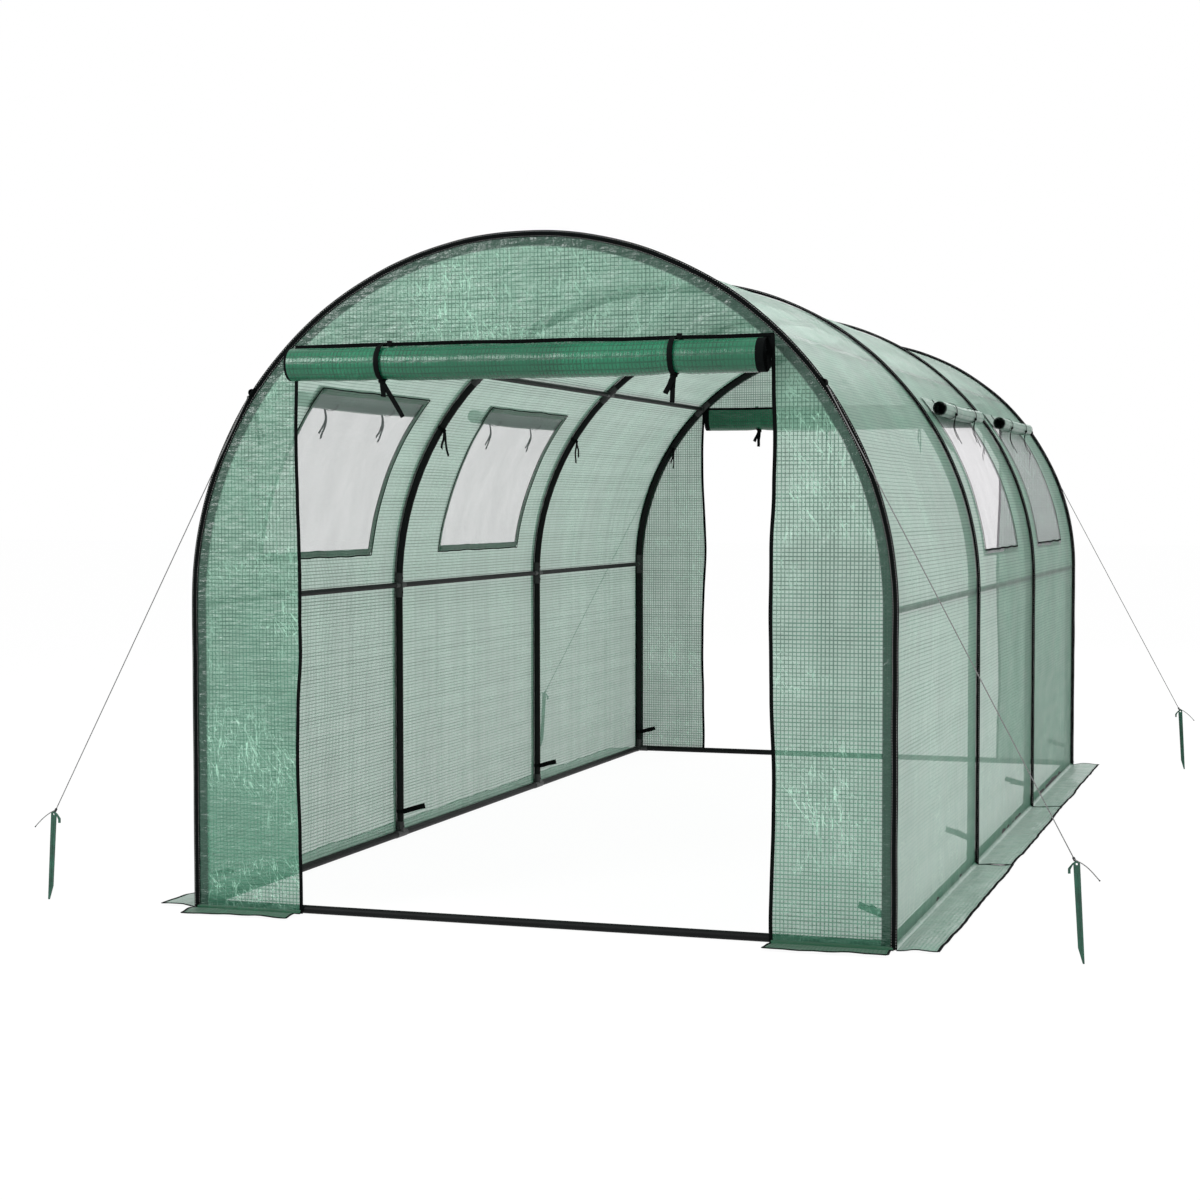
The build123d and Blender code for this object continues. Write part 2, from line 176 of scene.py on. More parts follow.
class Cutting:
    """Points, faces and cloth distances gathered for one mesh."""

    def __init__(self):
        self.points = []
        self.faces = []
        self.weave = []
        self.slots = []

    def add(self, points, faces, weave=None, slot=0):
        start = len(self.points)
        self.points += points
        self.weave += weave or [(p[0], p[2], p[1]) for p in points]
        self.faces += [tuple(start + i for i in face) for face in faces]
        self.slots += [slot] * len(faces)

    def grid(self, us, vs, place, keep=None, slot_of=None, flip=False):
        """A sheet over two lists of cloth distances; place says where each point goes."""
        start = len(self.points)
        places = [(u, v) for u in us for v in vs]
        self.points += [tuple(place(u, v)) for u, v in places]
        self.weave += [(u, v, 0.0) for u, v in places]
        rows = len(vs)
        for i in range(len(us) - 1):
            for j in range(rows - 1):
                u, v = (us[i] + us[i + 1]) / 2, (vs[j] + vs[j + 1]) / 2
                if keep and not keep(u, v):
                    continue
                a = start + i * rows + j
                face = (a, a + rows, a + rows + 1, a + 1)
                self.faces.append(face[::-1] if flip else face)
                self.slots.append(slot_of(u, v) if slot_of else 0)

    def sweep(self, path, section, across=None, closed=False, slot=0, scale=None):
        """A section of (sideways, outward) points carried along a path."""
        path = [Vector(p) for p in path]
        count, size = len(path), len(section)
        way, turn, points, weave, run = None, None, [], [], 0.0
        for n, here in enumerate(path):
            before = path[n - 1] if n or closed else here
            after = path[(n + 1) % count] if n < count - 1 or closed else here
            tangent = (after - before).normalized()
            if across is not None:
                side = Vector(across)
            elif turn is None:
                start = Vector((0, 1, 0)) if abs(tangent.y) < 0.9 else Vector((1, 0, 0))
                side = start.cross(tangent).cross(tangent).normalized()
            else:
                side = way.rotation_difference(tangent) @ turn
            side = (side - tangent * side.dot(tangent)).normalized()
            out = side.cross(tangent).normalized()
            way, turn = tangent, side
            run += (here - path[n - 1]).length if n else 0.0
            grow = scale[n] if scale else 1.0
            for a, b in section:
                points.append(tuple(here + side * a * grow + out * b * grow))
                weave.append((run, a, b))
        faces = []
        for n in range(count if closed else count - 1):
            low, high = n * size, (n + 1) % count * size
            for k in range(size):
                m = (k + 1) % size
                faces.append((low + k, low + m, high + m, high + k))
        if not closed:
            faces.append(tuple(range(size))[::-1])
            faces.append(tuple(range((count - 1) * size, count * size)))
        self.add(points, faces, weave, slot)

    def tube(self, path, radius, sides, closed=False, slot=0, scale=None):
        """A round bar along a path."""
        turns = [FULL_TURN / sides * k for k in range(sides)]
        section = [(radius * math.cos(turn), radius * math.sin(turn)) for turn in turns]
        self.sweep(path, section, closed=closed, slot=slot, scale=scale)

    def strap(self, path, across, width, thickness, crown=0.0, closed=False, slot=0):
        """A flat strap along a path, with soft edges and perhaps a crowned face."""
        upper, lower = [], []
        for mark in (-1, -0.86, -0.45, 0, 0.45, 0.86, 1):
            face = thickness / 2 * (0.4 if abs(mark) == 1 else 1)
            upper.append((width / 2 * mark, face + crown * (1 - mark * mark)))
            lower.insert(0, (width / 2 * mark, -face))
        self.sweep(path, upper + lower, across=across, closed=closed, slot=slot)

    def knot(self, middle, across, radius, sides=10):
        """The small knot of a tie, thick in its middle."""
        self.tube([middle - across, middle, middle + across], radius, sides, scale=KNOT_SCALE)

    def hang(self):
        """Lays the weave by width and height, as on an end wall."""
        self.weave = [(p[0], p[2], 0.0) for p in self.points]


def make_piece(name, cutting, materials, nodes=(), sharp=None):
    """The gathered mesh as a piece that stands for CAD nodes, with edges sharp from an angle."""
    mesh = bpy.data.meshes.new(name)
    used = sorted({i for face in cutting.faces for i in face})
    number = {before: after for after, before in enumerate(used)}
    faces = [tuple(number[i] for i in face) for face in cutting.faces]
    mesh.from_pydata([cutting.points[i] for i in used], [], faces)
    weave = mesh.attributes.new("weave", "FLOAT_VECTOR", "POINT")
    weave.data.foreach_set("vector", [c for i in used for c in cutting.weave[i]])
    mesh.polygons.foreach_set("material_index", cutting.slots)
    mesh.polygons.foreach_set("use_smooth", [True] * len(faces))
    mesh.update()
    if sharp:
        mesh.set_sharp_from_angle(angle=math.radians(sharp))
    for material in materials:
        mesh.materials.append(material)
    piece = bpy.data.objects.new(name, mesh)
    bpy.context.scene.collection.objects.link(piece)
    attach(piece, "root")
    if nodes:
        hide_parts(*nodes)
    return piece


# Finishes


class Reading:
    """A value at a shader socket; Python's operators add Math nodes behind it."""

    def __init__(self, nodes, socket):
        self.nodes = nodes
        self.socket = socket

    def math(self, operation, *values):
        settings = {"operation": operation}
        return self.nodes.node("ShaderNodeMath", settings, dict(enumerate(values)))

    def __add__(self, other):
        return self.math("ADD", self, other)

    def __sub__(self, other):
        return self.math("SUBTRACT", self, other)

    def __rsub__(self, other):
        return self.math("SUBTRACT", other, self)

    def __mul__(self, other):
        return self.math("MULTIPLY", self, other)

    __radd__ = __add__
    __rmul__ = __mul__

    def __lt__(self, other):
        return self.math("LESS_THAN", self, other)

    def __abs__(self):
        return self.math("ABSOLUTE", self)

    def fraction(self):
        return self.math("FRACT", self)

    def whole(self):
        return self.math("FLOOR", self)

    def wave(self):
        """The sine, from 0 to 1."""
        return (self.math("SINE", self) + 1.0) * 0.5

    def off_middle(self):
        """How far a value is from the middle between two whole numbers, up to 0.5."""
        return abs(self.fraction() - 0.5)

    def higher(self, other):
        return self.math("MAXIMUM", self, other)

    def lower(self, other):
        return self.math("MINIMUM", self, other)

    def within(self, low, high):
        """Rises smoothly from 0 at low to 1 at high."""
        settings = {"interpolation_type": "SMOOTHSTEP"}
        sockets = {"Value": self, "From Min": low, "From Max": high}
        return self.nodes.node("ShaderNodeMapRange", settings, sockets)

    def beside(self, touch, clear):
        """1 up to the touching distance, fading to 0 at the clear one."""
        return 1.0 - self.within(touch, clear)


class Nodes:
    """Adds nodes to one shader tree."""

    def __init__(self, tree):
        self.tree = tree

    def node(self, kind, settings=None, sockets=None, output=0):
        """Any node: its settings are set first, then the values or links of its sockets."""
        made = self.tree.nodes.new(kind)
        for name, value in (settings or {}).items():
            setattr(made, name, value)
        for name, value in (sockets or {}).items():
            self.plug(made.inputs[name], value)
        return Reading(self, made.outputs[output])

    def plug(self, socket, value):
        if isinstance(value, Reading):
            self.tree.links.new(value.socket, socket)
        else:
            socket.default_value = value

    def seen(self):
        """1 to the camera, in reflections and through glass, 0 to the light on the object."""
        camera, glossy, through = (
            self.node("ShaderNodeLightPath", output=f"Is {ray} Ray")
            for ray in ("Camera", "Glossy", "Transmission")
        )
        return camera.higher(glossy).higher(through)

    def lay_over(self, share, under, over, output):
        """Shows one shader over a share of another node's shader, at the output node."""
        sockets = {0: share, 1: Reading(self, under.outputs[0]), 2: over}
        mixed = self.node("ShaderNodeMixShader", None, sockets)
        self.plug(self.tree.nodes[output].inputs["Surface"], mixed)


class Finish(Nodes):
    """One procedural material, built on its Principled shader."""

    def __init__(self, name):
        self.material = bpy.data.materials.new(name)
        self.material.use_nodes = True
        super().__init__(self.material.node_tree)
        self.shader = self.tree.nodes["Principled BSDF"]

    def weave(self):
        """How far along and across the cloth a place is, in metres."""
        place = self.node("ShaderNodeAttribute", {"attribute_name": "weave"}, output="Vector")
        return tuple(self.node("ShaderNodeSeparateXYZ", None, {0: place}, way) for way in "XY")

    def place(self):
        return self.node("ShaderNodeTexCoord", output="Object")

    def grain(self, vector, scale, detail=2.0, roughness=0.5):
        sockets = {"Vector": vector, "Scale": scale, "Detail": detail, "Roughness": roughness}
        return self.node("ShaderNodeTexNoise", None, sockets)

    def streaks(self, u, v, scale_u, scale_v, detail=3.0):
        """Noise that is drawn out along one way of the cloth."""
        stretched = self.node("ShaderNodeCombineXYZ", None, {0: u * scale_u, 1: v * scale_v})
        return self.grain(stretched, 1.0, detail)

    def mix(self, share, first, second):
        """One colour turning into another as share goes from 0 to 1."""
        sockets = {0: share, 6: first, 7: second}
        return self.node("ShaderNodeMix", {"data_type": "RGBA"}, sockets, output=2)

    def shades(self, share, color, low, high):
        """A colour between two of its own shades."""
        return self.mix(share, full(shade(color, low)), full(shade(color, high)))

    def bump(self, height, distance, strength=1.0, **under):
        sockets = {"Height": height, "Distance": distance, "Strength": strength, **under}
        return self.node("ShaderNodeBump", None, sockets)

    def surface(self, **values):
        """Sets or links the shader's sockets and gives back the material."""
        for name, value in values.items():
            socket = name.replace("_", " ").title().replace("Ior", "IOR")
            self.plug(self.shader.inputs[socket], value)
        return self.material


def full(color):
    return (*color, 1.0)


def shade(color, share):
    """A darker or paler shade of a colour."""
    return tuple(min(1.0, c * share) for c in color)


def hoop_shadow_on_wall(u, v):
    """1 where a hoop or rail lies against the walls and roof, fading to 0 beside it."""
    from_hoop = ((v - HOOP_YS[0]) * (1 / BAY_LENGTH) + 0.5).off_middle() * BAY_LENGTH
    from_crown = abs(u - GIRTH / 2)
    from_side = abs(from_crown - ARCH_GIRTH / 2)
    from_purlin = abs(from_crown - (ARCH_GIRTH / 2 - COVER_RADIUS * PURLIN_ANGLE))
    hoop = from_hoop.beside(0.004, 0.017) * 0.8
    return hoop.higher(from_side.lower(from_purlin).beside(0.004, 0.015) * 0.55)


def hoop_shadow_on_end(u, v):
    """1 where the end hoop lies against the end wall, fading to 0 beside it."""
    rise = (v - LEG_HEIGHT).higher(0.0)
    spot = u.nodes.node("ShaderNodeCombineXYZ", None, {0: u, 1: rise})
    settings = {"operation": "LENGTH"}
    reach = u.nodes.node("ShaderNodeVectorMath", settings, {0: spot}, output="Value")
    hoop = abs(reach - (HALF_WIDTH - 0.004)).beside(0.011, 0.017)
    return hoop.higher(v.beside(0.030, 0.036) * 0.25)


def thread_lines(finish, run, share):
    """1 on the threads that cross one way of the cloth; no two are equally wide."""
    sockets = {"W": run.whole()}
    count = finish.node("ShaderNodeTexWhiteNoise", {"noise_dimensions": "1D"}, sockets)
    return 1.0 - (0.5 - run.off_middle()).within(0.0, share * (0.6 + 0.8 * count))


def woven_film(name, looks, film, thread, see_through, gloss, crumple, shadow=None, glow=0.0):
    """Clear plastic film over a grid of threads, as one see-through skin."""
    finish = Finish(name)
    u, v = finish.weave()
    runs = [way * (1 / looks.thread_pitch) for way in (u, v)]
    across, along = (thread_lines(finish, run, looks.thread_share) for run in runs)
    threads = across.higher(along)
    cloudy = finish.streaks(u, v, 2.6, 3.8, 4.0)
    haze = finish.streaks(u, v, 14.0, 5.0)
    pale = finish.shades(cloudy.within(0.35, 0.68), film, 0.8, 1.2)
    deep = finish.shades(haze.within(0.3, 0.75), thread, 0.75, 1.3)
    color = finish.mix(threads, pale, deep)
    opening = see_through * (0.75 + 0.5 * haze)
    alpha = 1.0 - opening * (1.0 - THREAD_COVER * threads)
    # Painted shade: the foot of the walls is greener and darker
    height = finish.node("ShaderNodeSeparateXYZ", None, {0: finish.place()}, output="Z")
    foot_shade = height.beside(FOOT_SHADE_LOW, FOOT_SHADE_HIGH) * (0.75 + 0.5 * haze)
    foot_shade_color = full(c * tint for c, tint in zip(film, FOOT_SHADE_TINT))
    color = finish.mix(foot_shade * 0.88, color, foot_shade_color)
    # Fine crease lines run both ways where the film is most crumpled: they bump the film a little,
    # and their pale colour is a painted glint
    folds = abs(finish.streaks(u, v, 40.0, 7.0, 2.0) - 0.5).within(0.0, 0.016)
    slant = finish.streaks(u + 0.7 * v, v - 0.7 * u, 30.0, 5.0, 2.0)
    slant_folds = abs(slant - 0.5).within(0.0, 0.012)
    sharp = (1.0 - folds.lower(slant_folds)) * cloudy.within(0.42, 0.62)
    color = finish.mix(sharp * (0.27 * crumple), color, full(shade(film, 2.2)))
    if shadow:
        # Painted shadow of the hoops and rails behind the film: a dark band there, shown solid and
        # with no glow
        hoop_shade = shadow(u, v)
        glow = glow * (1.0 - hoop_shade)
        color = finish.mix(hoop_shade * 0.93, color, full(shade(thread, 0.45)))
        alpha = alpha.higher(hoop_shade)
    if glow:
        share = glow * (1.0 - THREAD_COVER * threads)
        # Less glow passes where the foot of the walls has painted shade
        share = share * (1.0 - 0.45 * foot_shade) * (0.8 + 0.4 * cloudy)
        tint = {"Color": full(looks.glow_color)}
        through = finish.node("ShaderNodeBsdfTranslucent", None, tint)
        finish.lay_over(share, finish.shader, through, "Material Output")
    creases = finish.streaks(u, v, 16.0, 30.0, 4.0) + 0.6 * finish.streaks(v, u, 55.0, 21.0, 3.0)
    creases = creases + 0.12 * sharp + 0.4 * finish.streaks(u, v, 9.0, 9.0)
    fine = (u * 900.0).off_middle() + (v * 900.0).off_middle()
    skin = finish.bump(threads * 0.25 + 0.1 * fine, 0.0006)
    return finish.surface(
        base_color=color, roughness=gloss + 0.2 * haze + 0.12 * threads, alpha=alpha,
        normal=finish.bump(creases, 0.006 * crumple, 0.55, Normal=skin),
        specular_ior_level=0.5,
    )


def coated_steel(name, color):
    """Black powder coat: an even skin with a fine pitted grain and a few dull patches."""
    finish = Finish(name)
    pits = finish.grain(finish.place(), 1400.0)
    patches = finish.grain(finish.place(), 9.0, 3.0)
    return finish.surface(
        base_color=finish.shades(patches.within(0.35, 0.8), color, 0.8, 1.8),
        roughness=0.4 + 0.16 * patches + 0.08 * pits,
        normal=finish.bump(pits, 0.0002), specular_ior_level=0.12,
    )


def moulded_plastic(name, color, gloss):
    """Moulded plastic with a faint flow pattern and scuffs."""
    finish = Finish(name)
    flow = finish.grain(finish.place(), 38.0, 4.0)
    fine = finish.grain(finish.place(), 900.0)
    scuffs = finish.grain(finish.place(), 160.0, 5.0, 0.7)
    tint = finish.shades(flow.within(0.3, 0.75), color, 0.75, 1.4)
    return finish.surface(
        base_color=finish.mix(scuffs.within(0.62, 0.75) * 0.5, tint, full(shade(color, 2.2))),
        roughness=gloss + 0.2 * scuffs + 0.05 * fine, normal=finish.bump(fine, 0.0002),
    )


def woven_tape(name, color, thread=None, width=0.0):
    """Black woven tape with cross ribs and, where thread is given, a run of stitches."""
    finish = Finish(name)
    u, v = finish.weave()
    ribs = (u * (FULL_TURN / 0.0014)).wave()
    cords = (v * (FULL_TURN / 0.0021)).wave()
    wear = finish.streaks(u, v, 12.0, 60.0)
    cloth = finish.shades(ribs * cords, color, 0.7, 1.9)
    cloth = finish.mix(wear.within(0.5, 0.8) * 0.4, cloth, full(shade(color, 3.0)))
    height = ribs * 0.5 + cords * 0.5
    if thread:
        seam = abs(abs(v) - (width / 2 - STITCH_INSET))
        stitches = (seam < 0.0006) * ((u * (1 / STITCH_PITCH)).fraction() < 0.45)
        cloth = finish.mix(stitches, cloth, full(thread))
        height = height + stitches * 1.5
    return finish.surface(
        base_color=cloth, roughness=0.8 + 0.12 * wear, normal=finish.bump(height, 0.0004),
        specular_ior_level=0.05,
    )


def fine_net(name, color, see_through):
    """A fine insect net: close threads with a little of what is behind showing through."""
    finish = Finish(name)
    u, v = finish.weave()
    across, along = ((way * (1 / NET_PITCH)).off_middle() for way in (u, v))
    threads = across.higher(along).within(0.24, 0.42)
    folds = finish.streaks(u, v, 4.0, 9.0)
    return finish.surface(
        base_color=finish.shades(folds.within(0.3, 0.7), color, 0.94, 1.06),
        roughness=0.6 + 0.1 * threads, normal=finish.bump(threads, 0.0003),
        alpha=1.0 - see_through * (1.3 - 0.55 * threads) * (0.85 + 0.3 * folds),
    )


def twisted_cord(name, color):
    """Thin twisted cord: strands that wind round it as fine slanting ridges."""
    finish = Finish(name)
    u, v = finish.weave()
    twist = (u * 900.0 + v * 2100.0).wave()
    return finish.surface(
        base_color=finish.shades(twist, color, 0.6, 1.3), roughness=0.65 + 0.15 * twist,
        normal=finish.bump(twist, 0.0004),
    )


def white_floor(name, glow):
    """Pale floor that the camera, reflections and glass see as white, with its shadow kept."""
    finish = Finish(name)
    pale, paler = full((0.73, 0.73, 0.73)), full((0.75, 0.75, 0.75))
    white = finish.node("ShaderNodeEmission", None, {"Color": WHITE, "Strength": 1.06})
    finish.lay_over(finish.seen() * glow, finish.shader, white, "Material Output")
    tint = finish.mix(finish.grain(finish.place(), 3.0), pale, paler)
    return finish.surface(base_color=tint, roughness=0.9)


def make_finish(name, looks):
    """The material of one name: a maker, and what it is given."""
    wall, end, door = looks.wall_color, looks.end_color, looks.door_color
    wall_clear, end_clear = looks.wall_see_through, looks.end_see_through
    thread, stitch, glow = looks.thread_color, looks.stitch_color, looks.wall_glow
    # Film and thread colours, clearness, gloss and crumple, and perhaps a shadow and a glow
    films = {
        "wall_film": (wall, thread, wall_clear, 0.24, 0.9, hoop_shadow_on_wall, glow),
        "end_film": (end, thread, end_clear, 0.14, 2.6, hoop_shadow_on_end, glow / 2),
        "skirt_film": (shade(end, 0.8), thread, end_clear * 0.8, 0.2, 1.2),
        "flap_film": (shade(door, 0.8), shade(door, 0.4), end_clear * 0.3, 0.3, 1.2),
        "hem_film": (shade(wall, 0.5), thread, 0.1, 0.3, 1.0),
        "door_film": (door, shade(door, 0.5), 0.0, 0.16, 1.0),
        "roll_film": (shade(wall, 0.9), thread, 0.2, 0.2, 1.0),
    }
    others = {
        "frame_tube": (coated_steel, looks.tube_color),
        "fitting": (moulded_plastic, looks.fitting_color, 0.38),
        "knot": (moulded_plastic, looks.fitting_color, 0.45),
        "peg_plastic": (moulded_plastic, looks.peg_color, 0.25),
        "net": (fine_net, looks.net_color, looks.net_see_through),
        "binding": (woven_tape, looks.binding_color, stitch, TAPE_WIDTH),
        "seam_tape": (woven_tape, looks.binding_color, stitch, SEAM_TAPE_WIDTH),
        "edging": (woven_tape, looks.binding_color),
        "webbing": (woven_tape, looks.webbing_color),
        "guy_cord": (twisted_cord, looks.cord_color),
    }
    if name in films:
        return woven_film(name, looks, *films[name])
    maker, *given = others[name]
    return maker(name, *given)


FINISHES = {}


def finishes(looks, *names):
    """The materials of those names, each made the first time that a piece asks for it."""
    for name in names:
        if name not in FINISHES:
            FINISHES[name] = make_finish(name, looks)
    return [FINISHES[name] for name in names]


# Places on the tunnel


def arch_place(radius, angle, y, side=1):
    """A point on an arch, by its angle above the spring line."""
    return Vector(
        (side * radius * math.cos(angle), y, LEG_HEIGHT + radius * math.sin(angle))
    )


def girth_place(s, y, out=0.0):
    """A point on the cover by its distance from the left foot, up over the arch and down."""
    reach = COVER_RADIUS + out
    if s < LEG_HEIGHT:
        return Vector((-reach, y, s))
    if s > LEG_HEIGHT + ARCH_GIRTH:
        return Vector((reach, y, GIRTH - s))
    turn = math.pi - (s - LEG_HEIGHT) / COVER_RADIUS
    return Vector((reach * math.cos(turn), y, LEG_HEIGHT + reach * math.sin(turn)))


def girth_at(angle, side):
    """The distance from the left foot of an angle above the spring line."""
    rise = COVER_RADIUS * angle
    return LEG_HEIGHT + rise if side < 0 else GIRTH - LEG_HEIGHT - rise


def arch_ways(angle, side):
    """The outward and the upward way on an arch, at an angle above the spring line."""
    outward = Vector((side * math.cos(angle), 0, math.sin(angle)))
    upward = Vector((-side * math.sin(angle), 0, math.cos(angle)))
    return outward, upward


def bay_span(bay):
    start = HOOP_YS[bay] if bay else -END_PLANE
    end = HOOP_YS[bay + 1] if bay < len(HOOP_YS) - 2 else END_PLANE
    return start, end


def window_middle(side, bay):
    """Windows sit off the middle of a bay: to the rear on the left, to the front on the right."""
    return (HOOP_YS[bay] + HOOP_YS[bay + 1]) / 2 - side * WINDOW_SHIFT


def window_span(side, bay, margin=0.0):
    middle = window_middle(side, bay)
    return middle - WINDOW_LENGTH / 2 - margin, middle + WINDOW_LENGTH / 2 + margin


def cover_bulge(s, y, bay):
    """How far the cover stands out of its even shape: slack between the hoops, and creases."""
    start, end = HOOP_YS[bay], HOOP_YS[bay + 1]
    share = min(1.0, max(0.0, (y - start) / (end - start)))
    slack = math.sin(math.pi * share)
    from_rail = min(
        abs(s - LEG_HEIGHT), abs(s - GIRTH + LEG_HEIGHT),
        abs(s - girth_at(PURLIN_ANGLE, -1)), abs(s - girth_at(PURLIN_ANGLE, 1)),
    )
    loose = min(1.0, from_rail / 0.16)
    waves = ripple(s * 1.6, y * 1.1, 3.7 + bay) * 0.007
    waves += ripple(s * 3.1 + y * 4.4, y * 1.7 - s * 0.9, 9.1 + bay) * 0.004
    waves += ripple(s * 11.0, y * 1.9, 21.3 + bay) * 0.0016
    foot = max(0.0, 1.0 - min(s, GIRTH - s) / 0.35)
    waves += foot * ripple(s * 1.5, y * 13.0, 31.0 + bay) * 0.005
    bulge = slack ** 0.6 * (waves * (0.3 + 0.7 * loose) - 0.004 * loose)
    return max(bulge, -0.002 - 0.009 * loose)


def end_bulge(x, z, end, loose):
    """How far an end wall's cloth stands out towards its own end."""
    side = 1 if end < 0 else -1
    waves = ripple(x * 2.3 * side, z * 1.9, 40.0 + end) * 0.006
    waves += ripple(x * 8.0 * side + z * 5.0, z * 3.2 - x * 2.0, 47.0 + end) * 0.0035
    waves += ripple(x * 17.0 * side, z * 11.0, 53.0 + end) * 0.0014
    return max(-0.008, min(0.006, waves * loose))


def arch_top(x):
    return LEG_HEIGHT + math.sqrt(max(0.0, COVER_OUTER**2 - x * x))


def panel_reach(z):
    """Half the width of the end wall at a height."""
    if z <= LEG_HEIGHT:
        return COVER_OUTER
    return math.sqrt(max(0.0, COVER_OUTER**2 - (z - LEG_HEIGHT) ** 2))


class Winding:
    """A cloth wound up on itself from its far edge, between two radii, in even turns."""

    def __init__(self, inner, outer, turns, rows_a_turn):
        self.inner = inner
        self.outer = outer
        self.sweep = FULL_TURN * turns
        self.length = math.pi * (inner + outer) * turns
        self.rows = steps(0, self.length, self.length / (turns * rows_a_turn))

    def turn(self, v):
        return self.sweep * v / self.length

    def spot(self, v, swell):
        """How far a part of the cloth lies off the roll's middle, outward and upward."""
        reach = self.inner + (self.outer - self.inner) * v / self.length
        reach = min(reach * swell, self.outer)
        angle = math.pi + self.sweep - self.turn(v)
        return reach * math.cos(angle), reach * math.sin(angle)


def pinch(place, ties, reach):
    """1 where a tie draws a roll in, fading to 0 beside it."""
    return sum(math.exp(-(((place - tie) / reach) ** 2)) for tie in ties)


# The pieces


def a_length(name, description, default, low, high):
    return FloatProperty(
        name=name, description=description, default=default, min=low, max=high, unit="LENGTH"
    )


def a_share(name, description, default, low=0.0, high=1.0):
    return FloatProperty(
        name=name, description=description, default=default, min=low, max=high, subtype="FACTOR"
    )


def a_color(name, description, *default):
    return FloatVectorProperty(
        name=name, description=description, default=default, min=0, max=1, subtype="COLOR"
    )


class TunnelLooks(bpy.types.PropertyGroup):
    """The sizes and colours of the tunnel's finishes."""

    thread_pitch: a_length("Thread pitch", "Distance between the threads", 0.0115, 0.004, 0.05)
    thread_share: a_share("Thread width", "Half a thread's width in the pitch", 0.25, 0.02, 0.45)
    sheet_step: a_length("Sheet step", "Size of the cover's mesh cells", 0.022, 0.01, 0.1)
    wall_see_through: a_share("Wall clearness", "Light that passes the walls and roof", 0.42)
    end_see_through: a_share("End clearness", "Light that passes the end walls", 0.31)
    net_see_through: a_share("Net clearness", "Light that passes the window nets", 0.54)
    wall_glow: a_share("Wall glow", "Light that the walls pass on as a soft glow", 0.38)
    glow_color: a_color("Glow colour", "Light that glows through the film", 0.47, 0.74, 0.60)
    wall_color: a_color("Wall colour", "Film of the walls and roof", 0.24, 0.45, 0.335)
    end_color: a_color("End colour", "Film of the end walls", 0.25, 0.46, 0.345)
    thread_color: a_color("Thread colour", "Grid of threads in the film", 0.030, 0.125, 0.080)
    door_color: a_color("Door colour", "Film of the rolled doors", 0.006, 0.150, 0.072)
    net_color: a_color("Net colour", "Fine net in the windows", 0.57, 0.55, 0.585)
    tube_color: a_color("Tube colour", "Powder coat of the tubes", 0.004, 0.005, 0.005)
    fitting_color: a_color("Fitting colour", "Fittings between the tubes", 0.010, 0.011, 0.011)
    binding_color: a_color("Binding colour", "Tape over hoops and edges", 0.003, 0.004, 0.004)
    stitch_color: a_color("Stitch colour", "Thread of the stitches", 0.6, 0.62, 0.6)
    webbing_color: a_color("Webbing colour", "Ties and tabs", 0.004, 0.005, 0.005)
    cord_color: a_color("Cord colour", "Guy lines", 0.22, 0.22, 0.22)
    peg_color: a_color("Peg colour", "Pegs of the guy lines", 0.010, 0.075, 0.045)
    tube_sides: IntProperty(
        name="Tube sides", description="Sides of the mesh round a tube", default=24, min=8, max=64
    )


class TunnelOperator:
    """What the operators share."""

    bl_options = {"REGISTER", "UNDO"}

    def execute(self, context):
        self.make(context.scene.tunnel_looks)
        return {"FINISHED"}


